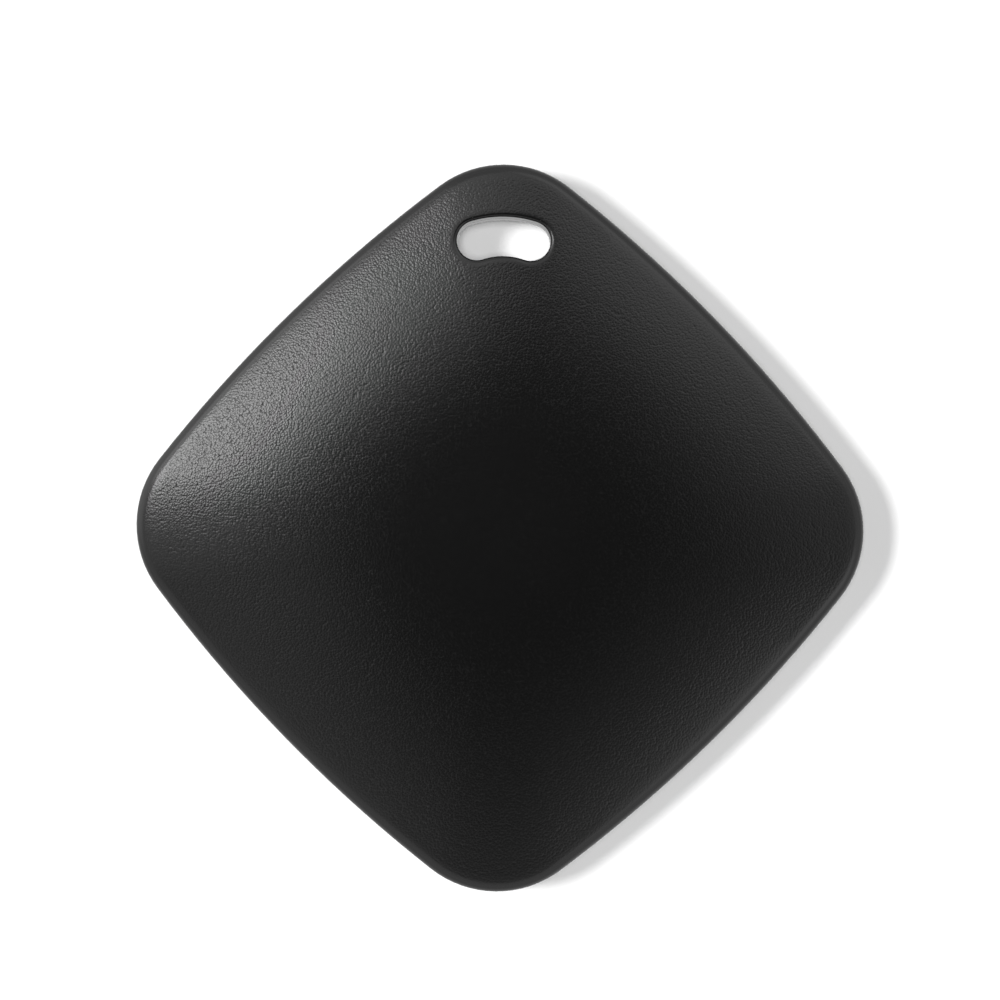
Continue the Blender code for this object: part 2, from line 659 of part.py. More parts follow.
def make_contacts():
    """The spring blade on the side of the cell, the leaf under it and two springs to the sounder."""
    sheet = 0.15 * MM
    foot = MOUNT_Z + sheet / 2
    blade = [
        (12.6 * MM, foot),
        (11.3 * MM, foot),
        (11.1 * MM, foot + 0.3 * MM),
        (11.1 * MM, foot + 1.2 * MM),
        (CELL_RADIUS + AIR + sheet, CELL_BOTTOM + 2.1 * MM),
        (CELL_RADIUS + AIR + sheet, CELL_BOTTOM + 2.3 * MM),
        (10.7 * MM, CELL_TOP - 0.4 * MM),
    ]
    positive = add_strip("positive_contact", blade, 3 * MM, sheet, "spring_steel")
    positive.rotation_euler = (0, 0, math.radians(POSITIVE_ANGLE))
    touch = CELL_BOTTOM - AIR - sheet / 2
    leaf = [(-7, foot), (-5.4, foot), (-2, touch), (2, touch), (5.4, foot), (7, foot)]
    add_strip("negative_contact", [(x * MM, z) for x, z in leaf], 3 * MM, sheet, "spring_steel")
    solder = BOARD_BOTTOM - AIR - sheet / 2
    for count, (reach, low) in enumerate(((2.5 * MM, CERAMIC_TOP), (6.6 * MM, PIEZO_TOP)), 1):
        tip = low + AIR + sheet / 2
        hook = [(0, solder), (1.6 * MM, solder), (1.9 * MM, solder - 0.3 * MM), (0.5 * MM, tip), (0, tip)]
        spring = add_strip(f"piezo_contact_{count}", hook, 1.2 * MM, sheet, "spring_steel")
        spring.location = (0, reach, 0)
        spring.rotation_euler = (0, 0, math.radians(90 * (2 * count - 3)))


def make_sounder():
    """A brass disc with a ceramic one on it, held to the rear cover by an adhesive ring."""
    low = WALL + AIR
    outer = PIEZO_RADIUS
    inner = CERAMIC_RADIUS + 0.7 * MM
    tape = [(inner, low + PIEZO_LAYER), (outer, low + PIEZO_LAYER), (outer, low), (inner, low)]
    add_turned("piezo_adhesive", tape, 32, True, "tape")
    discs = (
        ("piezo_plate", outer, PIEZO_TOP, "brass"),
        ("piezo_ceramic", CERAMIC_RADIUS, CERAMIC_TOP, "piezo_ceramic"),
    )
    for name, radius, top, finish in discs:
        disc = [(0, top), (radius, top), (radius, top - PIEZO_LAYER), (0, top - PIEZO_LAYER)]
        add_turned(name, disc, 32, False, finish)


def make_pad():
    """The foam disc inside the front cover that holds the cell down on its contacts."""
    top = THICKNESS - WALL - 5 * AIR
    profile = [(0, top), (PAD_RADIUS, top), (PAD_RADIUS, top - PAD_THICKNESS), (0, top - PAD_THICKNESS)]
    add_turned("battery_pad", profile, 32, False, "foam")


def smooth_round_pieces():
    """Round faces shade smooth and edges sharper than 30 degrees stay crisp."""
    for part in PARTS.objects:
        if part.type == "MESH":
            part.data.shade_smooth()
            part.data.set_sharp_from_angle(angle=math.radians(30))


for left_over in list(bpy.data.objects):
    bpy.data.objects.remove(left_over, do_unlink=True)
PARTS = new_collection("bluetooth_tracker_tag")
CUTTERS = new_collection("cutters")
CUTTERS.hide_render = True

make_front_cover()
make_rear_cover()
make_frame_and_seal()
make_board()
make_screws()
make_chips()
make_switch()
make_cell()
make_holder()
make_contacts()
make_sounder()
make_pad()
smooth_round_pieces()
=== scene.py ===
"""The looks of a bluetooth tracker tag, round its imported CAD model. Lengths are in metres."""

import json
import math

import bmesh
import bpy
from mathutils import Matrix, Vector
from mathutils.geometry import delaunay_2d_cdt

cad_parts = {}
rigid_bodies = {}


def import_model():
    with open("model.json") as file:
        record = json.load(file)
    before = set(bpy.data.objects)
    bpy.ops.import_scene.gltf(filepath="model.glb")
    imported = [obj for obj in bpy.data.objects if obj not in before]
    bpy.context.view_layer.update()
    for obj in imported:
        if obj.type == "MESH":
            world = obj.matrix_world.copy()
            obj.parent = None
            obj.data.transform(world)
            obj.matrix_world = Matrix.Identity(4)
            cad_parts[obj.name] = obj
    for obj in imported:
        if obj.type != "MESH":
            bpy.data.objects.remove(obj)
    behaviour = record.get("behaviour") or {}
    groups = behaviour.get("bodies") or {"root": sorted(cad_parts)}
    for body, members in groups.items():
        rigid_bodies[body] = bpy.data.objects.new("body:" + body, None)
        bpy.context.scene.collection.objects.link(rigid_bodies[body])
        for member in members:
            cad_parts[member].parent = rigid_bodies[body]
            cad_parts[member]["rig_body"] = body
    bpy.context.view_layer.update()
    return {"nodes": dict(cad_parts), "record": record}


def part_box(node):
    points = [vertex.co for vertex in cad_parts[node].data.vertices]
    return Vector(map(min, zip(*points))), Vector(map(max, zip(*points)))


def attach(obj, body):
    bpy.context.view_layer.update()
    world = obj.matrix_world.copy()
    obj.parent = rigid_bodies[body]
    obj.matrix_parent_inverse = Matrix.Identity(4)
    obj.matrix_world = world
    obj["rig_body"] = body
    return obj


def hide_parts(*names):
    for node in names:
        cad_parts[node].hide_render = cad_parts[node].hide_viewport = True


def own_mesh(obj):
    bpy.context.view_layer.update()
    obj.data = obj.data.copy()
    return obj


MM = 0.001

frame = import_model()

# Case shape, as in the CAD model
ACROSS_FLATS = 39.0 * MM
CORNER_RADIUS = 6.9 * MM
SIDE_RADIUS = 96.5 * MM
WALL = 1.2 * MM
RIM_HEIGHT = 1.2 * MM
EDGE_ROUND = 0.65 * MM
DOME_POWER = 2.6
REAR_DOME_EXTRA = 0.2 * MM
HOLE_Y = 18.6 * MM
HOLE_END_X = 1.74 * MM
HOLE_END_RADIUS = 1.3 * MM
HOLE_ARCH_RISE = 1.56 * MM
HOLE_BUMP_DROP = 1.01 * MM

# How finely the covers are drawn
CORNER_STEPS = 16
SIDE_STEPS = 18
EDGE_STEPS = 6
RING_SPACING = 0.5 * MM
HULL_TRIANGLES = 1
MERGE_WITHIN = 1e-9
HOLE_ROUND = 0.25 * MM
HOLE_ROUND_STEPS = 4
HOLE_END_STEPS = 18
HOLE_ARCH_STEPS = 16
HOLE_BUMP_STEPS = 12

# The grain starts this far from the outline or the hole, and is full after this much more.
# From the middle it rises over these shares of the way out. It is only on points that lie
# within SKIN_WITHIN of the outer face.
EDGE_GRAIN = (0.2 * MM, 0.9 * MM)
HOLE_GRAIN = (0.15 * MM, 0.4 * MM)
MIDDLE_GRAIN = (0.3, 0.5)
FAINTEST_GRAIN = 0.35
SKIN_WITHIN = 0.1 * MM

# How the pieces inside are drawn.
SHARP_ANGLE = 35
WELD = 0.0001 * MM
FLAT_WITHIN = math.radians(0.5)
DOME_STEPS = 8
BUTTON_ROUNDING = 0.2 * MM

# The board's plated lands. Under a chip, their middle and length are shares of its long side.
LAND_THICKNESS = 0.03 * MM
LAND_MARGIN = 0.08 * MM
LAND_MIDDLE = 0.4
LAND_LENGTH = 0.36
TEST_PAD_RADIUS = 0.45 * MM
SCREW_LAND_RADIUS = 1.55 * MM
SCREW_HOLE_CUT = 1.0 * MM

# Sizes inside, as in the CAD model. Directions are in degrees.
POST_RADIUS = 1.1 * MM
POST_TOP = 7.9 * MM
POST_GAP = 0.05 * MM
BOSS_RADIUS = 1.6 * MM
BOSS_BOTTOM = 1.5 * MM
BOSS_TOP = 3.0 * MM
PILOT_RADIUS = 0.75 * MM
PILOT_BOTTOM = 1.75 * MM
NOTCH_WIDTH = 6 * MM
NOTCH_DEPTH = 0.6 * MM
SHANK_RADIUS = 0.65 * MM
SCREW_HEAD = 0.6 * MM
DOME_SHEET = 0.06 * MM
BOARD_TURN = 45
HOLDER_WALL = 0.6 * MM
HOLDER_WINDOWS = (112.5, -67.5)
SCREWS = [f"pcb_screw_{count}" for count in range(1, 5)]

# Chip details that the CAD model leaves out. A SHARE is of the chip's width, length or height,
# of the room for one lead, or of the inductor's side.
CHIP_ROUNDING = 0.05 * MM
PACKAGE_STAND = 0.07 * MM
DIMPLE_SHARE = 0.07
DIMPLE_INSET_SHARE = 0.17
DIMPLE_DEPTH = 0.05 * MM
LEAD_SHARE = 0.5
LEAD_INSET = 0.12 * MM
LEAD_DEPTH = 0.22 * MM
LEAD_HEIGHT = 0.2 * MM
ROW_MARGIN = 0.7 * MM
TRAY_SHARE = 0.5
FLANGE_SHARE = 0.12
FLANGE_MARGIN = 0.12 * MM
FLANGE_ROUNDING = 0.02 * MM
LID_MARGIN = 0.4 * MM
LID_ROUNDING = 0.08 * MM
CAP_SHARE = 0.22
CAP_ROUNDING = 0.07 * MM
CAP_STEP = 0.03 * MM
BAR_COUNT = 3
BAR_WIDTH = 0.2 * MM
BAR_MARGIN = 0.3 * MM
BAR_PITCH = 0.42 * MM
BAR_RISE = 0.01 * MM
BOBBIN_END_SHARE = 0.26
BOBBIN_ROUNDING = 0.1 * MM
BOBBIN_DIMPLE_SHARE = 0.32
BOBBIN_DIMPLE_DEPTH = 0.06 * MM
WIRE_ROWS = 5
WIRE_SHARE = 0.44
VALLEY_SHARE = 0.41

# Screws. The flat top and the straight foot are shares of the head's radius and height.
SCREW_HEAD_STEPS = 6
HEAD_FLAT_SHARE = 0.55
HEAD_FOOT_SHARE = 0.4
THREAD_DEPTH = 0.12 * MM
THREAD_TURNS = 6
THREAD_FROM_HEAD = 0.1 * MM
THREAD_FROM_TIP = 0.2 * MM
TIP_LENGTH = 0.15 * MM
RECESS_LENGTH = 1.3 * MM
RECESS_WIDTH = 0.28 * MM
RECESS_DEPTH = 0.35 * MM
RECESS_TURN = 20

# The cell, its holder and the foam disc. The foam's rim is pinched, and its faces wave.
PLUS_LENGTH = 3.6 * MM
PLUS_WIDTH = 0.55 * MM
PLUS_DEPTH = 0.05 * MM
PLUS_Y = 5.2 * MM
CELL_SHEET = 0.3 * MM
CELL_TOP_ROUNDING = 0.45 * MM
CELL_FOOT_ROUNDING = 0.4 * MM
GROOVE_INSET = 1.2 * MM
GROOVE_HALF_WIDTH = 0.1 * MM
GROOVE_DEPTH = 0.04 * MM
CRIMP_LENGTH = 0.68 * MM
CRIMP_THICKNESS = 0.2 * MM
CRIMP_HEIGHT = 0.8 * MM
WINDOW_SIZE = (3.0 * MM, 4.2 * MM)
WINDOW_SILL = 0.8 * MM
HOLDER_ROUNDING = 0.1 * MM
PINCH = 0.25 * MM
PINCH_STEPS = 8
WAVE_PLACES = (0.2, 0.35, 0.5, 0.65, 0.8)
WAVE_RADIANS = 9
WAVE_DEPTH = 0.04 * MM

# Chips: width, length and height, and for a flat package the leads on each side
PACKAGES = {
    "bluetooth_soc": (4.0 * MM, 4.0 * MM, 0.85 * MM, 8),
    "motion_sensor": (2.0 * MM, 2.0 * MM, 0.9 * MM, 4),
    "buzzer_driver": (2.0 * MM, 2.0 * MM, 0.75 * MM, 4),
}
CRYSTALS = {
    "main_crystal": (1.6 * MM, 2.0 * MM, 0.45 * MM),
    "clock_crystal": (3.2 * MM, 1.5 * MM, 0.8 * MM),
}
CAPPED_CHIPS = {
    "storage_capacitor": (3.2 * MM, 1.6 * MM, 1.2 * MM),
    "capacitor_1": (0.6 * MM, 1.2 * MM, 0.6 * MM),
    "capacitor_2": (1.2 * MM, 0.6 * MM, 0.6 * MM),
    "capacitor_3": (0.6 * MM, 1.2 * MM, 0.6 * MM),
    "capacitor_4": (1.2 * MM, 0.6 * MM, 0.6 * MM),
    "resistor_1": (0.6 * MM, 1.2 * MM, 0.4 * MM),
    "resistor_2": (0.6 * MM, 1.2 * MM, 0.4 * MM),
    "resistor_3": (1.2 * MM, 0.6 * MM, 0.4 * MM),
    "chip_antenna": (3.2 * MM, 1.6 * MM, 1.1 * MM),
}

# Test pads lie this many degrees round from these chips
TEST_PADS = {"motion_sensor": 11, "buzzer_driver": 12, "resistor_2": 11, "main_crystal": 10}
PLAIN_NODES = (
    "battery_cap",
    "battery_gasket",
    "positive_contact",
    "negative_contact",
    "piezo_contact_1",
    "piezo_contact_2",
    "piezo_plate",
    "piezo_ceramic",
    "piezo_adhesive",
)

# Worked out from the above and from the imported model
SLOTS = {part["node"]: part["material_slot"] for part in frame["record"]["subparts"]}
FRONT_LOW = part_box("front_cover")[0]
REAR_LOW, REAR_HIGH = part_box("rear_cover")
BOARD_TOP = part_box("main_pcb")[1].z
SIDE_SHIFT = SIDE_RADIUS - ACROSS_FLATS / 2
SIDE_CENTRE = -SIDE_SHIFT / math.sqrt(2)
CORNER_CENTRE = math.sqrt((SIDE_RADIUS - CORNER_RADIUS) ** 2 - SIDE_CENTRE**2) + SIDE_CENTRE
HALF_DIAGONAL = CORNER_CENTRE + CORNER_RADIUS
MEET_RADIANS = math.atan2(-SIDE_CENTRE, CORNER_CENTRE - SIDE_CENTRE)
MEET_ANGLE = math.degrees(MEET_RADIANS)
CORNER_SPREAD = math.atan2(
    CORNER_RADIUS * math.sin(MEET_RADIANS), CORNER_CENTRE + CORNER_RADIUS * math.cos(MEET_RADIANS)
)
MEAN_RADIUS = (ACROSS_FLATS / 2 + HALF_DIAGONAL) / 2
HALF_HEIGHT = REAR_HIGH.z - REAR_LOW.z
FRONT_DOME = HALF_HEIGHT - RIM_HEIGHT - EDGE_ROUND
REAR_DOME = FRONT_DOME + REAR_DOME_EXTRA
ARCH_RADIUS = (HOLE_END_X**2 + HOLE_ARCH_RISE**2 - HOLE_END_RADIUS**2) / (
    2 * (HOLE_ARCH_RISE - HOLE_END_RADIUS)
)
BUMP_RADIUS = (HOLE_END_X**2 + HOLE_BUMP_DROP**2 - HOLE_END_RADIUS**2) / (
    2 * (HOLE_END_RADIUS - HOLE_BUMP_DROP)
)
ARCH_Y = HOLE_Y + HOLE_ARCH_RISE - ARCH_RADIUS
BUMP_Y = HOLE_Y - HOLE_BUMP_DROP - BUMP_RADIUS
TO_ARCH = math.degrees(math.atan2(HOLE_Y - ARCH_Y, HOLE_END_X))
TO_BUMP = math.degrees(math.atan2(HOLE_Y - BUMP_Y, HOLE_END_X))

# Camera. The view is this wide at the height of the outline.
VIEW_WIDTH = 65.16 * MM
CAMERA_DISTANCE = 400 * MM
SENSOR = 36
AIM_ABOVE_MIDDLE = 1.82 * MM
ROLL = math.radians(0.75)

# Studio. The room's brightness by height, and softboxes: azimuth, zenith angle, half-width, brightness
ROOM_LEVELS = (
    (0.0, 0.7),
    (0.02, 0.9),
    (0.6, 0.9),
    (0.72, 0.5),
    (0.86, 0.24),
    (0.93, 0.12),
    (0.98, 0.03),
)
SOFTBOXES = (
    (149, 38, 14, 12.8),
    (182, 32, 24, 0.65),
    (142, 62, 20, 2.0),
    (160, 88, 42, 0.75),
    (112, 33, 22, 1.15),
    (60, 50, 28, 0.9),
    (12, 34, 20, 0.25),
    (330, 58, 24, 0.65),
)
FILL_DISTANCE = 1.5
FILL_POWER = 13.3
FILL_SIZE = 0.2
SUN_AZIMUTH = 177
SUN_ZENITH = 22.9
SUN_DISTANCE = 1.0
SUN_STRENGTH = 2.4
SUN_SPREAD = 10
SIDE_AZIMUTHS = (45, 135, 225, 315)
SIDE_ZENITH = 72
SIDE_DISTANCE = 1.0
SIDE_POWER = 1.0
SIDE_SIZE = 0.5
FLOOR_REACH = 3.0
FLOOR_DROP = 0.02 * MM


# Node helpers


class Tree:
    """The nodes of a material or a world, with short calls to add and link them."""

    def __init__(self, owner, shader):
        owner.use_nodes = True
        self.owner = owner
        self.nodes = owner.node_tree.nodes
        self.links = owner.node_tree.links
        self.shader = self.nodes[shader]
        self.place = None

    def add(self, kind, inputs=(), **settings):
        node = self.nodes.new(kind)
        for key, value in settings.items():
            setattr(node, key, value)
        for key, value in dict(inputs).items():
            self.feed(node, key, value)
        return node

    def feed(self, node, key, value):
        """Sets an input to a value or a colour, or links it to another node's output."""
        socket = node.inputs[key]
        if isinstance(value, bpy.types.NodeSocket):
            self.links.new(value, socket)
        elif socket.type == "RGBA":
            socket.default_value = (*value, 1)
        else:
            socket.default_value = value

    def coordinates(self):
        """Places in metres, in the object's own frame."""
        if self.place is None:
            self.place = self.add("ShaderNodeTexCoord").outputs["Object"]
        return self.place

    def noise(self, scale, detail=3.0, roughness=0.55, distortion=0.0, place=None):
        inputs = {"Scale": scale, "Detail": detail, "Roughness": roughness, "Distortion": distortion}
        inputs["Vector"] = place or self.coordinates()
        return self.add("ShaderNodeTexNoise", inputs).outputs["Fac"]

    def stretched(self, scale):
        """Coordinates scaled unevenly, for brushed and drawn marks."""
        inputs = {"Vector": self.coordinates(), "Scale": scale}
        return self.add("ShaderNodeMapping", inputs).outputs["Vector"]

    def cells(self, scale, feature, randomness, place=None):
        """Distances in a Voronoi pattern."""
        inputs = {"Vector": place or self.coordinates(), "Scale": scale, "Randomness": randomness}
        return self.add("ShaderNodeTexVoronoi", inputs, feature=feature).outputs["Distance"]

    def math(self, operation, first, second=0.0):
        return self.add("ShaderNodeMath", {0: first, 1: second}, operation=operation).outputs[0]

    def span(self, value, low, high, to_low=0.0, to_high=1.0):
        """Maps low..high to to_low..to_high, and holds it there outside."""
        inputs = {"Value": value, "From Min": low, "From Max": high, "To Min": to_low, "To Max": to_high}
        return self.add("ShaderNodeMapRange", inputs).outputs["Result"]

    def mix(self, share, first, second):
        """A blend of two colours. The node's colour inputs are 6 and 7, and its colour output is 2."""
        inputs = {"Factor": share, 6: first, 7: second}
        return self.add("ShaderNodeMix", inputs, data_type="RGBA").outputs[2]

    def bump(self, height, depth, strength=1.0):
        inputs = {"Height": height, "Distance": depth, "Strength": strength}
        return self.add("ShaderNodeBump", inputs).outputs["Normal"]

    def finish(self, colour, roughness, metallic=0.0, normal=None, specular=0.5):
        """Ends a material with its surface."""
        self.feed(self.shader, "Base Color", colour)
        self.feed(self.shader, "Roughness", roughness)
        self.feed(self.shader, "Metallic", metallic)
        self.feed(self.shader, "Specular IOR Level", specular)
        if normal is not None:
            self.feed(self.shader, "Normal", normal)
        return self.owner


def material_tree(name):
    """The nodes of a new material."""
    return Tree(bpy.data.materials.new(name), "Principled BSDF")


# Materials


def case_plastic():
    """Black moulded plastic. Its leathery grain is faint in the middle, and fades out at the edges."""
    tree = material_tree("case_plastic")
    grain = tree.add("ShaderNodeAttribute", attribute_name="grain").outputs["Fac"]
    pebbles = tree.math("POWER", tree.cells(7200, "F1", 1.0), 2.0)
    creases = tree.math("MULTIPLY", tree.noise(10000, 1.0, 0.5, 0.3), 0.25)
    height = tree.math("MULTIPLY", tree.math("SUBTRACT", creases, pebbles), grain)
    normal = tree.bump(height, 0.0125 * MM)
    colour = tree.mix(tree.noise(90, 3.0), (0.0024, 0.0024, 0.0024), (0.0034, 0.0034, 0.0034))
    shine = tree.span(tree.math("MULTIPLY", pebbles, grain), 0.05, 0.35, 0.19, 0.26)
    return tree.finish(colour, shine, 0.0, normal, 0.45)


def plain_plastic(name, dark, light, roughness):
    """Moulded plastic with a very fine spark finish and slightly uneven gloss."""
    tree = material_tree(name)
    spark = tree.noise(9000, 2.0)
    colour = tree.mix(tree.noise(300, 3.0), dark, light)
    shine = tree.span(tree.noise(900, 2.0), 0.3, 0.7, roughness - 0.06, roughness + 0.06)
    return tree.finish(colour, shine, 0.0, tree.bump(spark, 0.006 * MM))


def rubber():
    """Moulded rubber, dusty in patches."""
    tree = material_tree("rubber")
    dust = tree.span(tree.noise(700, 5.0, 0.65), 0.45, 0.7)
    colour = tree.mix(dust, (0.035, 0.035, 0.037), (0.06, 0.06, 0.062))
    skin = tree.noise(4200, 3.0)
    shine = tree.span(dust, 0.0, 1.0, 0.62, 0.85)
    return tree.finish(colour, shine, 0.0, tree.bump(skin, 0.012 * MM), 0.35)


def foam():
    """Open-cell foam: round pores of two sizes, each painted darker inside as shade."""
    tree = material_tree("foam")
    pores = tree.cells(3400, "F1", 1.0)
    small_pores = tree.cells(8200, "F1", 1.0)
    depth = tree.math("MINIMUM", tree.span(pores, 0.15, 0.5), tree.span(small_pores, 0.1, 0.45, 0.4))
    # The colour darkens down into each pore: painted shade in the hollows.
    colour = tree.mix(depth, (0.012, 0.012, 0.013), (0.065, 0.065, 0.068))
    return tree.finish(colour, 0.95, 0.0, tree.bump(depth, 0.06 * MM), 0.2)


def solder_mask():
    """Green board lacquer over copper tracks, with fine glass weave showing through."""
    tree = material_tree("solder_mask")
    turn = {"Vector": tree.coordinates(), "Rotation": (0, 0, math.radians(BOARD_TURN))}
    board = tree.add("ShaderNodeMapping", turn).outputs["Vector"]
    blocks = tree.cells(420, "DISTANCE_TO_EDGE", 0.85, board)
    tracks = tree.add(
        "ShaderNodeTexWave",
        {"Vector": board, "Scale": 700.0, "Distortion": 9.0, "Detail": 0.0, "Detail Scale": 0.35},
        wave_profile="TRI",
    ).outputs["Fac"]
    copper = tree.math("MAXIMUM", tree.span(blocks, 0.1, 0.12, 1.0, 0.0), tree.span(tracks, 0.7, 0.74))
    weave = tree.add("ShaderNodeTexChecker", {"Vector": board, "Scale": 3600.0}).outputs["Fac"]
    bare = tree.mix(tree.noise(200, 4.0), (0.006, 0.045, 0.022), (0.009, 0.06, 0.03))
    colour = tree.mix(copper, bare, (0.014, 0.105, 0.045))
    height = tree.math("ADD", copper, tree.math("MULTIPLY", weave, 0.12))
    shine = tree.span(tree.noise(1200, 2.0), 0.3, 0.7, 0.26, 0.36)
    return tree.finish(colour, shine, 0.0, tree.bump(height, 0.02 * MM), 0.5)


def metal(name, dark, light, roughness, grain=(1, 1, 1)):
    """Metal sheet whose drawn or brushed marks run along the axis where grain is small."""
    tree = material_tree(name)
    along = tree.stretched(grain)
    marks = tree.noise(9000, 3.0, 0.6, 0.0, along)
    smudge = tree.noise(160, 2.0)
    colour = tree.mix(tree.span(smudge, 0.35, 0.65), dark, light)
    dull = tree.span(smudge, 0.3, 0.7, roughness, roughness + 0.08)
    shine = tree.math("ADD", tree.span(marks, 0.3, 0.7, -0.07, 0.07), dull)
    return tree.finish(colour, shine, 1.0, tree.bump(marks, 0.0015 * MM, 0.5))


def turned_metal(name, dark, light, roughness):
    """Metal with a polished disc's fine rings round the middle of the tag, and stray scratches."""
    tree = material_tree(name)
    split = tree.add("ShaderNodeSeparateXYZ", {0: tree.coordinates()}).outputs
    squares = [tree.math("MULTIPLY", split[index], split[index]) for index in range(2)]
    radius = tree.math("SQRT", tree.math("ADD", *squares))
    ring_place = tree.add("ShaderNodeCombineXYZ", {0: radius, 2: split[2]}).outputs[0]
    rings = tree.noise(14000, 3.0, 0.6, 0.0, ring_place)
    scratches = tree.span(tree.noise(5000, 2.0, 0.7, 0.0, tree.stretched((0.06, 1.0, 1.0))), 0.62, 0.68)
    smudge = tree.noise(240, 4.0)
    colour = tree.mix(tree.span(smudge, 0.35, 0.65), dark, light)
    dull = tree.span(scratches, 0.0, 1.0, roughness, roughness + 0.15)
    shine = tree.math("ADD", tree.span(rings, 0.3, 0.7, -0.05, 0.09), dull)
    height = tree.math("SUBTRACT", rings, scratches)
    return tree.finish(colour, shine, 1.0, tree.bump(height, 0.004 * MM, 0.6))


def ceramic(name, dark, light, roughness):
    """Fired ceramic: matt, faintly speckled."""
    tree = material_tree(name)
    specks = tree.span(tree.noise(12000, 2.0), 0.4, 0.7)
    colour = tree.mix(specks, dark, light)
    return tree.finish(colour, roughness, 0.0, tree.bump(tree.noise(7000, 3.0), 0.008 * MM, 0.5), 0.4)


def tape():
    """Double-sided tape: pale, slightly fibrous."""
    tree = material_tree("tape")
    fibres = tree.noise(2600, 4.0, 0.7, 0.8, tree.stretched((0.3, 1.0, 1.0)))
    colour = tree.mix(fibres, (0.55, 0.54, 0.48), (0.78, 0.77, 0.72))
    return tree.finish(colour, 0.6, 0.0, tree.bump(fibres, 0.02 * MM, 0.6), 0.3)


def epoxy():
    """Black moulding compound with a soft sparkle of filler."""
    tree = material_tree("epoxy")
    filler = tree.span(tree.noise(15000, 2.0), 0.55, 0.75)
    colour = tree.mix(filler, (0.012, 0.012, 0.013), (0.035, 0.035, 0.036))
    shine = tree.span(filler, 0.0, 1.0, 0.55, 0.4)
    return tree.finish(colour, shine, 0.0, tree.bump(tree.noise(8000, 2.0), 0.006 * MM), 0.4)


# The case, drawn finely


def arc(centre, radius, start, end, steps):
    """Points along an arc with both its ends. The angles are in degrees."""
    points = []
    for step in range(steps + 1):
        angle = math.radians(start + (end - start) * step / steps)
        points.append((centre[0] + radius * math.cos(angle), centre[1] + radius * math.sin(angle)))
    return points


def turned(point, degrees):
    """A flat point, turned anticlockwise about the middle of the tag."""
    angle = math.radians(degrees)
    x, y = point
    return (x * math.cos(angle) - y * math.sin(angle), x * math.sin(angle) + y * math.cos(angle))


def case_outline(inset):
    """The outline of the case, moved in by inset."""
    corner = arc((CORNER_CENTRE, 0), CORNER_RADIUS - inset, -MEET_ANGLE, MEET_ANGLE, CORNER_STEPS)
    side = arc((SIDE_CENTRE, SIDE_CENTRE), SIDE_RADIUS - inset, MEET_ANGLE, 90 - MEET_ANGLE, SIDE_STEPS)
    quarter = corner[:-1] + side[:-1]
    return [turned(point, 90 * count) for count in range(4) for point in quarter]


def hole_outline(grow):
    """The outline of the keyring hole, moved out by grow."""
    right = arc((HOLE_END_X, HOLE_Y), HOLE_END_RADIUS + grow, TO_BUMP - 180, TO_ARCH, HOLE_END_STEPS)
    above = arc((0, ARCH_Y), ARCH_RADIUS + grow, TO_ARCH, 180 - TO_ARCH, HOLE_ARCH_STEPS)
    left = arc((-HOLE_END_X, HOLE_Y), HOLE_END_RADIUS + grow, 180 - TO_ARCH, 360 - TO_BUMP, HOLE_END_STEPS)
    below = arc((0, BUMP_Y), BUMP_RADIUS - grow, 180 - TO_BUMP, TO_BUMP, HOLE_BUMP_STEPS)
    return right[:-1] + above[:-1] + left[:-1] + below[:-1]


def hole_distance(x, y):
    """How far a point is outside the keyring hole, and below 0 inside it."""
    across = abs(x) - HOLE_END_X
    direction = math.degrees(math.atan2(y - HOLE_Y, across))
    if TO_BUMP - 180 <= direction <= TO_ARCH:
        return math.hypot(across, y - HOLE_Y) - HOLE_END_RADIUS
    if y > HOLE_Y:
        return math.hypot(x, y - ARCH_Y) - ARCH_RADIUS
    return BUMP_RADIUS - math.hypot(x, y - BUMP_Y)


def edge_distance(angle):
    """How far the outline is from the middle, in the direction of angle."""
    from_corner = abs((angle + math.pi / 4) % (math.pi / 2) - math.pi / 4)
    if from_corner < CORNER_SPREAD:
        across = CORNER_CENTRE * math.sin(from_corner)
        return CORNER_CENTRE * math.cos(from_corner) + math.sqrt(CORNER_RADIUS**2 - across**2)
    from_flat = math.pi / 4 - from_corner
    across = SIDE_SHIFT * math.sin(from_flat)
    return math.sqrt(SIDE_RADIUS**2 - across**2) - SIDE_SHIFT * math.cos(from_flat)


def level_of(x, y):
    """0 in the middle and 1 on the outline. Lines of equal level are round near the middle."""
    edge = edge_distance(math.atan2(y, x))
    share = math.hypot(x, y) / edge
    return share * (share + (1 - share) * edge / MEAN_RADIUS)


def level_ring(level, count):
    """Points round the line of equal level."""
    points = []
    for step in range(count):
        angle = 2 * math.pi * (step + 0.5) / count
        edge = edge_distance(angle)
        stretch = edge / MEAN_RADIUS
        share = 2 * level / (stretch + math.sqrt(stretch**2 + 4 * (1 - stretch) * level))
        points.append((share * edge * math.cos(angle), share * edge * math.sin(angle)))
    return points


def inset_of(x, y):
    """How far a point lies inside the outline."""
    angle = math.atan2(y, x)
    from_corner = abs((angle + math.pi / 4) % (math.pi / 2) - math.pi / 4)
    along = math.hypot(x, y) * math.cos(from_corner)
    across = math.hypot(x, y) * math.sin(from_corner)
    if math.atan2(across - SIDE_CENTRE, along - SIDE_CENTRE) > MEET_RADIANS:
        return SIDE_RADIUS - math.hypot(along - SIDE_CENTRE, across - SIDE_CENTRE)
    return CORNER_RADIUS - math.hypot(along - CORNER_CENTRE, across)


def rounded(distance, radius):
    """How far a rounded edge lies below the face, this far from the edge."""
    short = max(0.0, radius - max(0.0, distance))
    return radius - math.sqrt(max(0.0, radius**2 - short**2))


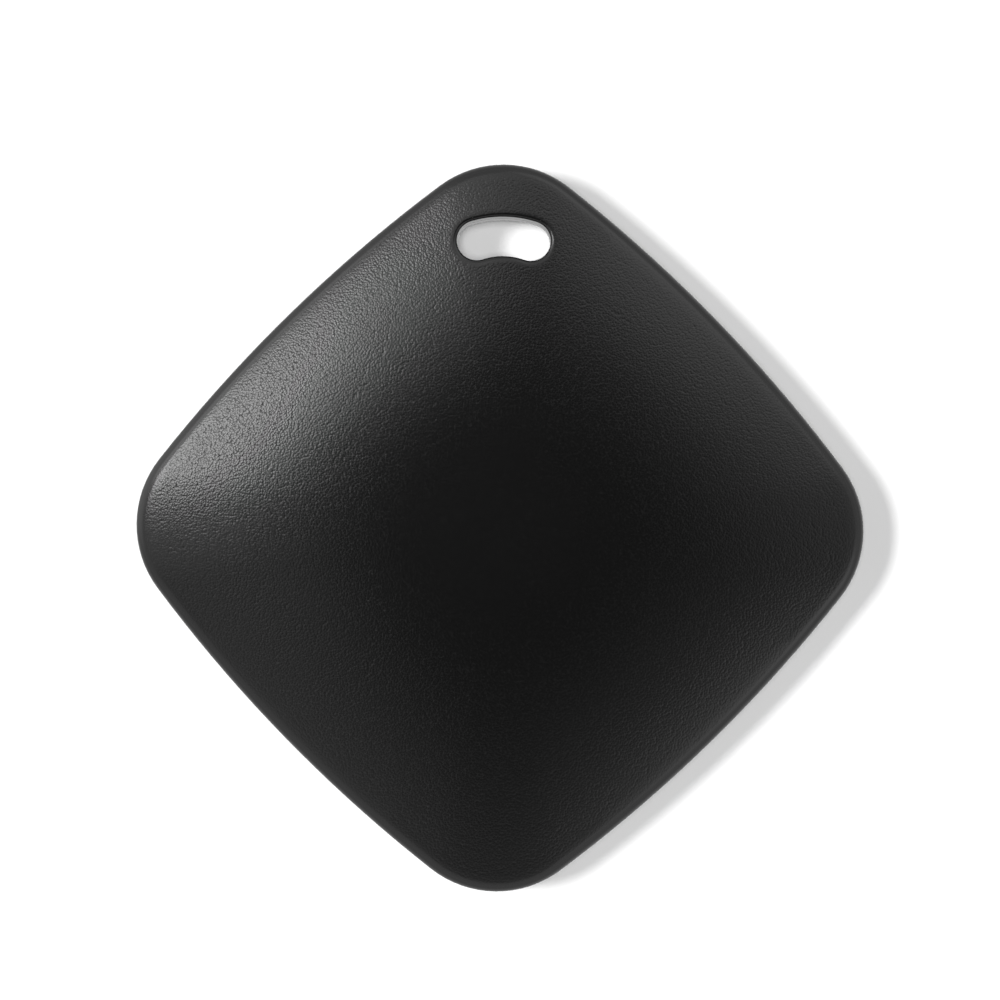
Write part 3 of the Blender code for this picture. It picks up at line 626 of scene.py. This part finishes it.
def skin_height(x, y, dome):
    """Height of the outer face above the parting plane: rim, rounded edge, dome, rounded hole."""
    edge = RIM_HEIGHT + EDGE_ROUND - rounded(inset_of(x, y), EDGE_ROUND)
    rise = dome * (1 - min(1.0, level_of(x, y)) ** DOME_POWER)
    return edge + min(rise, FRONT_DOME) - rounded(hole_distance(x, y), HOLE_ROUND)


def rounded_insets(radius, steps):
    """Distances from an edge that follow its rounding in even steps."""
    return [radius * (1 - math.cos(math.pi / 2 * step / steps)) for step in range(steps + 1)]


def skin_rings(dome):
    """Closed rings that the face's triangles follow, and loose points between them."""
    rings = [case_outline(inset) for inset in rounded_insets(EDGE_ROUND, EDGE_STEPS)]
    rings += [hole_outline(grow) for grow in rounded_insets(HOLE_ROUND, HOLE_ROUND_STEPS)]
    loose = hole_outline(HOLE_ROUND + RING_SPACING / 2)
    count = round(MEAN_RADIUS / RING_SPACING)
    levels = [step / count for step in range(count)]
    if dome > FRONT_DOME:
        land = (1 - FRONT_DOME / dome) ** (1 / DOME_POWER)
        levels = [land] + [level for level in levels if abs(level - land) > 0.5 / count]
    for level in levels:
        around = max(1, round(2 * math.pi * level * count))
        for x, y in level_ring(level, around):
            clear_of_edge = inset_of(x, y) > EDGE_ROUND + RING_SPACING / 2
            clear_of_hole = hole_distance(x, y) > HOLE_ROUND + RING_SPACING
            if clear_of_edge and clear_of_hole:
                loose.append((x, y))
    return rings, loose


def skin_mesh(name, dome):
    """The outer face of one case half with the walls at its rim and round the hole, an open surface."""
    rings, points = skin_rings(dome)
    edges = []
    for ring in rings:
        first = len(points)
        points += ring
        edges += [(first + n, first + (n + 1) % len(ring)) for n in range(len(ring))]
    flat = [Vector(point) for point in points]
    places, _, faces = delaunay_2d_cdt(flat, edges, [], HULL_TRIANGLES, MERGE_WITHIN)[:3]
    work = bmesh.new()
    corners = [work.verts.new((x, y, skin_height(x, y, dome))) for x, y in places]
    for face in faces:
        middle = sum((places[index] for index in face), Vector((0, 0))) / len(face)
        if hole_distance(*middle) > 0:
            work.faces.new([corners[index] for index in face])
    bmesh.ops.delete(work, geom=[v for v in work.verts if not v.link_faces], context="VERTS")
    rims = [edge for edge in work.edges if edge.is_boundary]
    walls = bmesh.ops.extrude_edge_only(work, edges=rims)["geom"]
    for item in walls:
        if isinstance(item, bmesh.types.BMVert):
            item.co.z = 0
    bmesh.ops.recalc_face_normals(work, faces=work.faces)
    if max(work.faces, key=lambda face: face.calc_center_median().z).normal.z < 0:
        bmesh.ops.reverse_faces(work, faces=work.faces)
    return mesh_of(work, name)


def new_piece(name, mesh, *finishes):
    """An object with this mesh and these materials."""
    piece = bpy.data.objects.new(name, mesh)
    for finish in finishes:
        mesh.materials.append(MATERIALS[finish])
    bpy.context.scene.collection.objects.link(piece)
    return piece


def applied(piece):
    """Makes the piece's modifiers part of its mesh, and its place too."""
    bpy.context.view_layer.update()
    graph = bpy.context.evaluated_depsgraph_get()
    mesh = bpy.data.meshes.new_from_object(piece.evaluated_get(graph))
    mesh.transform(piece.matrix_world)
    piece.modifiers.clear()
    piece.data = mesh
    piece.matrix_world = Matrix.Identity(4)
    return piece


def stand_in(piece, *nodes):
    """Shows the piece in place of these CAD nodes, on their body."""
    piece.data.shade_smooth()
    piece.data.set_sharp_from_angle(angle=math.radians(SHARP_ANGLE))
    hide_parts(*nodes)
    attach(piece, frame["nodes"][nodes[0]]["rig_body"])


def reshape(piece, mesh, place, operation, degrees=0):
    """Joins a helper's shape to the piece, or cuts it out."""
    helper = bpy.data.objects.new("helper", mesh)
    bpy.context.scene.collection.objects.link(helper)
    helper.location = place
    helper.rotation_euler = (0, 0, math.radians(degrees))
    change = piece.modifiers.new("change", "BOOLEAN")
    change.operation = operation
    change.object = helper
    applied(piece)
    bpy.data.objects.remove(helper)


def round_edges(piece, width, segments=2):
    """Rounds the piece's sharp edges."""
    rounding = piece.modifiers.new("edges", "BEVEL")
    rounding.width = width
    rounding.segments = segments
    rounding.limit_method = "ANGLE"
    rounding.angle_limit = math.radians(SHARP_ANGLE)
    applied(piece)


def mesh_of(work, name):
    """Ends the bmesh work with a mesh."""
    mesh = bpy.data.meshes.new(name)
    work.to_mesh(mesh)
    work.free()
    return mesh


def add_block(work, size, place, finish=0, rounding=0.0, degrees=0):
    """A block in the bmesh. Its place is the middle of its underside."""
    move = Matrix.Translation((place[0], place[1], place[2] + size[2] / 2))
    spin = Matrix.Rotation(math.radians(degrees), 4, "Z")
    corners = bmesh.ops.create_cube(work, size=1, matrix=move @ spin @ Matrix.Diagonal((*size, 1)))["verts"]
    for face in {face for corner in corners for face in corner.link_faces}:
        face.material_index = finish
    if rounding:
        edges = list({edge for corner in corners for edge in corner.link_edges})
        bmesh.ops.bevel(work, geom=edges, offset=rounding, segments=2, profile=0.5, affect="EDGES")


def add_drum(work, radius, height, place, finish=0, steps=32):
    """An upright cylinder in the bmesh. Its place is the middle of its underside."""
    move = Matrix.Translation((place[0], place[1], place[2] + height / 2))
    made = bmesh.ops.create_cone(
        work, cap_ends=True, segments=steps, radius1=radius, radius2=radius, depth=height, matrix=move
    )
    for face in {face for corner in made["verts"] for face in corner.link_faces}:
        face.material_index = finish


def block_mesh(size, bottom=0.0, rounding=0.0):
    """A block that stands this high above its place."""
    work = bmesh.new()
    add_block(work, size, (0, 0, bottom), 0, rounding)
    return mesh_of(work, "block")


def drum_mesh(radius, height):
    """A cylinder that stands on its place."""
    work = bmesh.new()
    add_drum(work, radius, height, (0, 0, 0))
    return mesh_of(work, "drum")


def bare_mesh(node):
    """A CAD node's solid, its flat faces whole instead of in triangles."""
    source = frame["nodes"][node].data
    bare = bpy.data.meshes.new(node)
    faces = [tuple(face.vertices) for face in source.polygons]
    bare.from_pydata([vertex.co for vertex in source.vertices], [], faces)
    work = bmesh.new()
    work.from_mesh(bare)
    bmesh.ops.remove_doubles(work, verts=work.verts, dist=WELD)
    bmesh.ops.dissolve_limit(work, angle_limit=FLAT_WITHIN, verts=work.verts, edges=work.edges)
    bmesh.ops.recalc_face_normals(work, faces=work.faces)
    return mesh_of(work, node)


def turned_mesh(name, profile, steps, closed=False):
    """A turned shape. Its profile of (radius, height) runs down the outer side."""
    edges = [(index, index + 1) for index in range(len(profile) - 1)]
    if closed:
        edges.append((len(profile) - 1, 0))
    mesh = bpy.data.meshes.new(name)
    mesh.from_pydata([(radius, 0, height) for radius, height in profile], edges, [])
    spun = bpy.data.objects.new(name, mesh)
    bpy.context.scene.collection.objects.link(spun)
    turn = spun.modifiers.new("turn", "SCREW")
    turn.steps = steps
    turn.render_steps = steps
    turn.use_merge_vertices = True
    turn.merge_threshold = WELD
    made = applied(spun).data
    bpy.data.objects.remove(spun)
    return made


def cover_piece(name, dome, turn, height):
    """One case half as a shell."""
    piece = new_piece(name, skin_mesh(name, dome), "case_plastic")
    piece.location = (0, 0, height)
    piece.rotation_euler = (0, turn, 0)
    wall = piece.modifiers.new("wall", "SOLIDIFY")
    wall.thickness = WALL
    wall.offset = -1
    wall.use_even_offset = True
    wall.use_quality_normals = True
    return applied(piece)


def faded(distance, start, reach):
    """0 up to start, then rising to 1 over reach."""
    return min(1, max(0, (distance - start) / reach))


def mark_grain(piece, dome, parting, side):
    """Stores how grained the outer face is: faint in the middle, full further out, none at its edges."""
    attribute = piece.data.attributes.new("grain", "FLOAT", "POINT")
    values = []
    for vertex in piece.data.vertices:
        x, y, z = vertex.co
        depth = skin_height(x, y, dome) - side * (z - parting)
        outside = 1 if abs(depth) < SKIN_WITHIN else 0
        from_edge = faded(inset_of(x, y), *EDGE_GRAIN)
        from_hole = faded(hole_distance(x, y), *HOLE_GRAIN)
        from_middle = FAINTEST_GRAIN + (1 - FAINTEST_GRAIN) * faded(level_of(x, y), *MIDDLE_GRAIN)
        values.append(outside * from_edge * from_hole * from_middle)
    attribute.data.foreach_set("value", values)


def make_front_shell():
    """The front cover, with the post under it that works the switch."""
    shell = cover_piece("front_shell", FRONT_DOME, 0, FRONT_LOW.z)
    plunger_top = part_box("switch_plunger")[1]
    foot = plunger_top.z + POST_GAP
    x, y = middle_of("switch_plunger")
    reshape(shell, drum_mesh(POST_RADIUS, POST_TOP - foot), (x, y, foot), "UNION")
    mark_grain(shell, FRONT_DOME, FRONT_LOW.z, 1)
    stand_in(shell, "front_cover")


def make_rear_shell():
    """The rear cover, with its screw bosses and the notch that opens the case."""
    shell = cover_piece("rear_shell", REAR_DOME, math.pi, REAR_HIGH.z)
    for node in SCREWS:
        place = middle_of(node)
        reshape(shell, drum_mesh(BOSS_RADIUS, BOSS_TOP - BOSS_BOTTOM), (*place, BOSS_BOTTOM), "UNION")
        reshape(shell, drum_mesh(PILOT_RADIUS, BOSS_TOP), (*place, PILOT_BOTTOM), "DIFFERENCE")
    notch = (0, -HALF_DIAGONAL, REAR_HIGH.z - NOTCH_DEPTH)
    reshape(shell, block_mesh((NOTCH_WIDTH, 2 * NOTCH_DEPTH, 2 * NOTCH_DEPTH)), notch, "DIFFERENCE")
    mark_grain(shell, REAR_DOME, REAR_HIGH.z, -1)
    stand_in(shell, "rear_cover")


# The pieces inside, drawn finely


def middle_of(node):
    """The middle of a CAD node, seen from above."""
    low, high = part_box(node)
    return ((low.x + high.x) / 2, (low.y + high.y) / 2)


def show_rounded(name, node, width, segments=2):
    """Shows a CAD node's shape with its edges rounded."""
    piece = new_piece(name, bare_mesh(node), SLOTS[node])
    round_edges(piece, width, segments)
    stand_in(piece, node)


def make_frame_and_seal():
    """The ring under the front cover, and the rubber ring at the parting line."""
    show_rounded("clip_frame", "inner_frame", 0.14 * MM, 3)
    show_rounded("rubber_ring", "case_seal", 0.13 * MM, 3)


def make_board():
    """The circuit board, and the plated lands that its components stand on."""
    show_rounded("circuit_board", "main_pcb", 0.05 * MM)
    work = bmesh.new()
    for node, (width, length, _) in CAPPED_CHIPS.items():
        long_side = max(width, length)
        short_side = min(width, length)
        turn = chip_turn(node, width, length)
        x, y = middle_of(node)
        for side in (-1, 1):
            along = turned((side * LAND_MIDDLE * long_side, 0), turn)
            size = (LAND_LENGTH * long_side, short_side + 2 * LAND_MARGIN, LAND_THICKNESS)
            add_block(work, size, (x + along[0], y + along[1], BOARD_TOP), degrees=turn)
    for node, reach in TEST_PADS.items():
        x, y = middle_of(node)
        for side in (-1, 1):
            across = turned((x, y), side * reach)
            add_drum(work, TEST_PAD_RADIUS, LAND_THICKNESS, (*across, BOARD_TOP))
    for node in SCREWS:
        add_drum(work, SCREW_LAND_RADIUS, LAND_THICKNESS, (*middle_of(node), BOARD_TOP))
    lands = new_piece("board_lands", mesh_of(work, "board_lands"), "gold_plating")
    for node in SCREWS:
        place = (*middle_of(node), BOARD_TOP - SCREW_HOLE_CUT / 2)
        reshape(lands, drum_mesh(PILOT_RADIUS, SCREW_HOLE_CUT), place, "DIFFERENCE")
    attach(lands, "rear_case")


def screw_profile(low, high):
    """A screw's outline from the middle of its pan head, down its thread, to its tip."""
    radius = (high.x - low.x) / 2
    flat = HEAD_FLAT_SHARE * radius
    head_bottom = high.z - SCREW_HEAD
    foot_top = head_bottom + HEAD_FOOT_SHARE * SCREW_HEAD
    profile = [(0, high.z), (flat, high.z)]
    for step in range(1, SCREW_HEAD_STEPS + 1):
        turn = math.pi / 2 * step / SCREW_HEAD_STEPS
        reach = flat + (radius - flat) * math.sin(turn)
        profile.append((reach, foot_top + (high.z - foot_top) * math.cos(turn)))
    profile += [(radius, head_bottom), (SHANK_RADIUS, head_bottom)]
    root = SHANK_RADIUS - THREAD_DEPTH
    thread_top = head_bottom - THREAD_FROM_HEAD
    pitch = (thread_top - low.z - THREAD_FROM_TIP) / THREAD_TURNS
    for count in range(THREAD_TURNS):
        top = thread_top - pitch * count
        profile += [(root, top), (SHANK_RADIUS, top - 0.4 * pitch)]
    return profile + [(root, low.z + TIP_LENGTH), (0.5 * root, low.z), (0, low.z)]


def make_screws():
    """Pan-head screws with a cross recess."""
    low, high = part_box(SCREWS[0])
    profile = screw_profile(low, high)
    for count, node in enumerate(SCREWS, 1):
        screw = new_piece(f"board_screw_{count}", turned_mesh("screw", profile, 40), "screw_steel")
        screw.location = (*middle_of(node), 0)
        for arm in range(2):
            size = (RECESS_LENGTH, RECESS_WIDTH, 2 * RECESS_DEPTH)
            place = (*middle_of(node), high.z - RECESS_DEPTH)
            reshape(screw, block_mesh(size), place, "DIFFERENCE", RECESS_TURN + 90 * arm)
        stand_in(screw, node)


def chip_turn(node, width, length):
    """The direction of a chip's long side, in degrees."""
    square_on = 0 if node == "chip_antenna" else BOARD_TURN
    return square_on + (90 if length > width else 0)


def place_chip(piece, node, turn):
    """Puts a chip, made round the origin, where its CAD node stands."""
    piece.location = (*middle_of(node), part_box(node)[0].z)
    piece.rotation_euler = (0, 0, math.radians(turn))
    applied(piece)
    stand_in(piece, node)


def add_leads(chip, width, leads):
    """Leads along the four sides of a package, their inner ends in its body."""
    work = bmesh.new()
    work.from_mesh(chip.data)
    pitch = (width - ROW_MARGIN) / (leads - 1)
    size = (LEAD_SHARE * pitch, LEAD_DEPTH, LEAD_HEIGHT)
    for side in range(4):
        for count in range(leads):
            across = (count - (leads - 1) / 2) * pitch
            place = turned((across, LEAD_INSET - width / 2), 90 * side)
            add_block(work, size, (*place, 0), 1, 0, 90 * side)
    work.to_mesh(chip.data)
    work.free()


def make_packages():
    """Flat packages. The dimple at the first pin is cut before the leads are added."""
    for node, (width, length, height, leads) in PACKAGES.items():
        body = block_mesh((width, length, height - PACKAGE_STAND), PACKAGE_STAND, CHIP_ROUNDING)
        chip = new_piece(f"{node}_package", body, "chip_epoxy", "solder")
        first_pin = width / 2 - DIMPLE_INSET_SHARE * width
        dimple = (-first_pin, first_pin, height - DIMPLE_DEPTH)
        reshape(chip, drum_mesh(DIMPLE_SHARE * width, height), dimple, "DIFFERENCE")
        add_leads(chip, width, leads)
        place_chip(chip, node, BOARD_TURN)


def make_crystals():
    """Ceramic trays with a welded metal lid."""
    for node, (width, length, height) in CRYSTALS.items():
        tray_top = TRAY_SHARE * height
        lid_bottom = (TRAY_SHARE + FLANGE_SHARE) * height
        work = bmesh.new()
        add_block(work, (width, length, tray_top), (0, 0, 0), 1, CHIP_ROUNDING)
        flange = (width - FLANGE_MARGIN, length - FLANGE_MARGIN, FLANGE_SHARE * height)
        add_block(work, flange, (0, 0, tray_top), 0, FLANGE_ROUNDING)
        lid = (width - LID_MARGIN, length - LID_MARGIN, height - lid_bottom)
        add_block(work, lid, (0, 0, lid_bottom), 0, LID_ROUNDING)
        crystal = new_piece(f"{node}_can", mesh_of(work, node), "crystal_can", "ferrite")
        place_chip(crystal, node, BOARD_TURN)


def make_capped_chips():
    """Capacitors, resistors and the antenna: a body with a metal cap over each end."""
    for node, (width, length, height) in CAPPED_CHIPS.items():
        long_side = max(width, length)
        short_side = min(width, length)
        cap = CAP_SHARE * long_side
        work = bmesh.new()
        body = (long_side - 2 * CAP_STEP, short_side - 2 * CAP_STEP, height - 2 * CAP_STEP)
        add_block(work, body, (0, 0, CAP_STEP), 0, CHIP_ROUNDING)
        for side in (-1, 1):
            place = (side * (long_side - cap) / 2, 0, 0)
            add_block(work, (cap, short_side, height), place, 1, CAP_ROUNDING)
        if node == "chip_antenna":
            bar = (BAR_WIDTH, short_side - BAR_MARGIN, CAP_STEP + BAR_RISE)
            for count in range(BAR_COUNT):
                place = ((count - (BAR_COUNT - 1) / 2) * BAR_PITCH, 0, height - 2 * CAP_STEP)
                add_block(work, bar, place, 1)
        chip = new_piece(f"{node}_chip", mesh_of(work, node), SLOTS[node], "solder")
        place_chip(chip, node, chip_turn(node, width, length))


def make_inductor():
    """A ferrite bobbin with square ends, wound with copper wire."""
    node = "boost_inductor"
    low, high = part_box(node)
    side = (high.x - low.x) / math.sqrt(2)
    height = high.z - low.z
    end = BOBBIN_END_SHARE * height
    work = bmesh.new()
    for bottom in (0, height - end):
        add_block(work, (side, side, end), (0, 0, bottom), 0, BOBBIN_ROUNDING)
    wire = (height - 2 * end) / WIRE_ROWS
    for count in range(WIRE_ROWS):
        add_drum(work, WIRE_SHARE * side, 0.6 * wire, (0, 0, end + (count + 0.2) * wire), 1, 40)
        add_drum(work, VALLEY_SHARE * side, wire, (0, 0, end + count * wire), 1, 40)
    inductor = new_piece("inductor_bobbin", mesh_of(work, node), "ferrite", "copper_wire")
    dimple = (0, 0, height - BOBBIN_DIMPLE_DEPTH)
    reshape(inductor, drum_mesh(BOBBIN_DIMPLE_SHARE * side, height), dimple, "DIFFERENCE")
    place_chip(inductor, node, BOARD_TURN)


def make_switch():
    """The push switch: tub, snap dome, cover plate and plunger."""
    show_rounded("switch_tub", "switch_base", 0.05 * MM)
    show_rounded("switch_plate", "switch_cover", 0.025 * MM)
    place = middle_of("switch_dome")
    low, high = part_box("switch_dome")
    radius = (high.x - low.x) / 2
    shares = [step / DOME_STEPS for step in range(DOME_STEPS + 1)]
    rise = high.z - low.z - DOME_SHEET
    over = [(radius * share, low.z + DOME_SHEET + rise * (1 - share**2)) for share in shares]
    under = [(radius * share, low.z + rise * (1 - share**2)) for share in reversed(shares)]
    dome = new_piece("snap_dome", turned_mesh("snap_dome", over + under, 40), "spring_steel")
    dome.location = (*place, 0)
    stand_in(applied(dome), "switch_dome")
    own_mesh(dome)
    low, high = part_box("switch_plunger")
    radius = (high.x - low.x) / 2
    crown_centre = (radius - BUTTON_ROUNDING, high.z - BUTTON_ROUNDING)
    crown = arc(crown_centre, BUTTON_ROUNDING, 90, 0, 5)
    profile = [(0, high.z), *crown, (radius, low.z), (0, low.z)]
    plunger = new_piece("switch_button", turned_mesh("button", profile, 40), "plunger_plastic")
    plunger.location = (*place, 0)
    stand_in(applied(plunger), "switch_plunger")


def make_cell():
    """The coin cell's can, with a plus sign sunk in its top, round its gasket and cap."""
    low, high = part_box("battery_can")
    radius = high.x
    top_centre = (radius - CELL_TOP_ROUNDING, high.z - CELL_TOP_ROUNDING)
    foot_centre = (radius - CELL_FOOT_ROUNDING, low.z + CELL_FOOT_ROUNDING)
    groove = radius - GROOVE_INSET
    inner = radius - CELL_SHEET
    lip = radius - CRIMP_LENGTH
    profile = [(0, high.z), (groove - GROOVE_HALF_WIDTH, high.z), (groove, high.z - GROOVE_DEPTH)]
    profile += [(groove + GROOVE_HALF_WIDTH, high.z), *arc(top_centre, CELL_TOP_ROUNDING, 90, 0, 6)]
    profile += [*arc(foot_centre, CELL_FOOT_ROUNDING, 0, -90, 5), (lip, low.z)]
    profile += [(lip, low.z + CRIMP_THICKNESS), (inner, low.z + CRIMP_HEIGHT)]
    profile += [(inner, high.z - CELL_SHEET), (0, high.z - CELL_SHEET)]
    can = new_piece("cell_can", turned_mesh("can", profile, 128), "cell_steel")
    plus_sign = (0, PLUS_Y, high.z - PLUS_DEPTH)
    for degrees in (0, 90):
        reshape(can, block_mesh((PLUS_LENGTH, PLUS_WIDTH, CELL_SHEET)), plus_sign, "DIFFERENCE", degrees)
    stand_in(can, "battery_can")


def make_holder():
    """The ring that centres the cell, open to its side contact and to a fingertip opposite."""
    low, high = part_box("battery_holder")
    outer = high.x
    inner = outer - HOLDER_WALL
    profile = [(inner, high.z), (outer, high.z), (outer, low.z), (inner, low.z)]
    holder = new_piece("cell_ring", turned_mesh("ring", profile, 120, True), "holder_plastic")
    for degrees in HOLDER_WINDOWS:
        place = turned((inner, 0), degrees)
        window = block_mesh((*WINDOW_SIZE, high.z))
        reshape(holder, window, (*place, low.z + WINDOW_SILL), "DIFFERENCE", degrees)
    round_edges(holder, HOLDER_ROUNDING, 3)
    stand_in(holder, "battery_holder")


def make_pad():
    """The foam disc, its rim pinched a little where it was punched out."""
    low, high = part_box("battery_pad")
    radius = high.x
    middle = (low.z + high.z) / 2
    half = (high.z - low.z) / 2
    side = []
    for step in range(PINCH_STEPS + 1):
        turn = math.pi * (step / PINCH_STEPS - 0.5)
        side.append((radius - PINCH * (1 - math.cos(turn)), middle - half * math.sin(turn)))
    waves = [(radius * share, WAVE_DEPTH * math.sin(WAVE_RADIANS * share) ** 2) for share in WAVE_PLACES]
    over = [(reach, high.z - drop) for reach, drop in waves]
    under = [(reach, low.z + drop) for reach, drop in reversed(waves)]
    profile = [(0, high.z), *over, *side, *under, (0, low.z)]
    pad = new_piece("foam_disc", turned_mesh("pad", profile, 96), "foam")
    stand_in(pad, "battery_pad")


def finish_plain_nodes():
    """Gives every CAD node that still shows its worked material."""
    for node in PLAIN_NODES:
        for slot in frame["nodes"][node].material_slots:
            slot.material = MATERIALS[SLOTS[node]]


# Studio


def make_camera():
    """A camera that looks straight down, turned a little and aimed above the middle."""
    data = bpy.data.cameras.new("camera")
    data.sensor_width = SENSOR
    data.lens = SENSOR * CAMERA_DISTANCE / VIEW_WIDTH
    data.clip_start = 10 * MM
    data.clip_end = 10
    camera = bpy.data.objects.new("camera", data)
    outline_height = (FRONT_LOW.z + REAR_HIGH.z) / 2
    aim = (-AIM_ABOVE_MIDDLE * math.sin(ROLL), AIM_ABOVE_MIDDLE * math.cos(ROLL))
    camera.location = (*aim, outline_height + CAMERA_DISTANCE)
    camera.rotation_euler = (0, 0, ROLL)
    bpy.context.scene.collection.objects.link(camera)
    bpy.context.scene.camera = camera


def make_floor():
    """A matt white floor that glossy faces don't mirror."""
    tree = material_tree("floor_paint")
    mesh = bpy.data.meshes.new("floor")
    corners = [turned((FLOOR_REACH, FLOOR_REACH), 90 * count) for count in range(4)]
    mesh.from_pydata([(x, y, 0) for x, y in corners], [], [(0, 1, 2, 3)])
    mesh.materials.append(tree.finish((0.9, 0.9, 0.9), 1.0, specular=0.0))
    floor = new_piece("floor", mesh)
    floor.location = (0, 0, -FLOOR_DROP)
    floor.visible_glossy = False


def unit_direction(azimuth, zenith):
    """The direction this far round from +X and this far down from straight up."""
    around = math.radians(azimuth)
    down = math.radians(zenith)
    return Vector((math.cos(around) * math.sin(down), math.sin(around) * math.sin(down), math.cos(down)))


def add_light(name, kind, azimuth, zenith, distance, power):
    """A light that faces the tag. Matt faces see it, and glossy faces mirror the world."""
    data = bpy.data.lights.new(name, kind)
    data.energy = power
    light = bpy.data.objects.new(name, data)
    light.visible_glossy = False
    direction = unit_direction(azimuth, zenith)
    light.location = direction * distance
    light.rotation_euler = direction.to_track_quat("Z", "Y").to_euler()
    bpy.context.scene.collection.objects.link(light)
    return light


def make_lights():
    """A fill overhead, a sun at the left and weak side lights that reach under the tag's rim."""
    fill = add_light("fill", "AREA", 0, 0, FILL_DISTANCE, FILL_POWER)
    fill.data.size = FILL_SIZE
    sun = add_light("sun", "SUN", SUN_AZIMUTH, SUN_ZENITH, SUN_DISTANCE, SUN_STRENGTH)
    sun.data.angle = math.radians(SUN_SPREAD)
    for azimuth in SIDE_AZIMUTHS:
        side = add_light(f"side_{azimuth}", "AREA", azimuth, SIDE_ZENITH, SIDE_DISTANCE, SIDE_POWER)
        side.data.size = SIDE_SIZE


def make_world():
    """What glossy faces mirror: a dark ceiling with softboxes, pale walls and a grey floor."""
    world = bpy.data.worlds.new("studio")
    bpy.context.scene.world = world
    world.cycles_visibility.diffuse = False
    tree = Tree(world, "Background")
    place = tree.add("ShaderNodeTexCoord").outputs["Generated"]
    upward = tree.add("ShaderNodeSeparateXYZ", {0: place}).outputs["Z"]
    ramp = tree.add("ShaderNodeValToRGB", {"Fac": upward})
    levels = ramp.color_ramp.elements
    while len(levels) < len(ROOM_LEVELS):
        levels.new(0.5)
    for element, (height, level) in zip(levels, ROOM_LEVELS):
        element.position = height
        element.color = (level, level, level, 1)
    total = ramp.outputs["Color"]
    for azimuth, zenith, spread, level in SOFTBOXES:
        aim = {0: place, 1: unit_direction(azimuth, zenith)}
        nearness = tree.add("ShaderNodeVectorMath", aim, operation="DOT_PRODUCT").outputs["Value"]
        inputs = {"Value": nearness, "From Min": math.cos(math.radians(spread)), "To Max": level}
        glow = tree.add("ShaderNodeMapRange", inputs, interpolation_type="SMOOTHSTEP").outputs["Result"]
        total = tree.add("ShaderNodeVectorMath", {0: total, 1: glow}).outputs["Vector"]
    tree.feed(tree.shader, "Color", total)


MATERIALS = {
    "case_plastic": case_plastic(),
    "frame_plastic": plain_plastic("frame_plastic", (0.022, 0.022, 0.023), (0.034, 0.034, 0.036), 0.48),
    "holder_plastic": plain_plastic("holder_plastic", (0.014, 0.014, 0.015), (0.022, 0.022, 0.024), 0.42),
    "switch_plastic": plain_plastic("switch_plastic", (0.022, 0.022, 0.022), (0.034, 0.034, 0.034), 0.5),
    "plunger_plastic": plain_plastic("plunger_plastic", (0.62, 0.62, 0.59), (0.74, 0.74, 0.71), 0.45),
    "gasket_nylon": plain_plastic("gasket_nylon", (0.3, 0.3, 0.28), (0.4, 0.4, 0.37), 0.55),
    "seal_rubber": rubber(),
    "foam": foam(),
    "board_laminate": solder_mask(),
    "cell_steel": turned_metal("cell_steel", (0.52, 0.52, 0.51), (0.66, 0.66, 0.65), 0.24),
    "brass": turned_metal("brass", (0.62, 0.42, 0.15), (0.76, 0.55, 0.24), 0.3),
    "spring_steel": metal("spring_steel", (0.55, 0.53, 0.48), (0.68, 0.66, 0.61), 0.26, (0.08, 1, 1)),
    "screw_steel": metal("screw_steel", (0.4, 0.4, 0.4), (0.55, 0.55, 0.55), 0.3),
    "crystal_can": metal("crystal_can", (0.55, 0.53, 0.48), (0.7, 0.68, 0.63), 0.3, (1, 0.1, 1)),
    "solder": metal("solder", (0.6, 0.6, 0.6), (0.78, 0.78, 0.77), 0.28),
    "gold_plating": metal("gold_plating", (0.72, 0.5, 0.2), (0.85, 0.62, 0.3), 0.25),
    "copper_wire": metal("copper_wire", (0.55, 0.22, 0.1), (0.7, 0.32, 0.17), 0.3),
    "piezo_ceramic": ceramic("piezo_ceramic", (0.62, 0.6, 0.54), (0.74, 0.72, 0.66), 0.5),
    "antenna_ceramic": ceramic("antenna_ceramic", (0.68, 0.7, 0.73), (0.8, 0.82, 0.85), 0.42),
    "capacitor_ceramic": ceramic("capacitor_ceramic", (0.25, 0.165, 0.1), (0.36, 0.25, 0.165), 0.42),
    "resistor_body": ceramic("resistor_body", (0.012, 0.012, 0.016), (0.03, 0.03, 0.036), 0.35),
    "ferrite": ceramic("ferrite", (0.045, 0.045, 0.047), (0.075, 0.075, 0.078), 0.6),
    "chip_epoxy": epoxy(),
    "tape": tape(),
}

make_camera()
make_floor()
make_lights()
make_world()
make_front_shell()
make_rear_shell()
make_frame_and_seal()
make_board()
make_screws()
make_packages()
make_crystals()
make_capped_chips()
make_inductor()
make_switch()
make_cell()
make_holder()
make_pad()
finish_plain_nodes()
bpy.context.scene.view_settings.view_transform = "Standard"
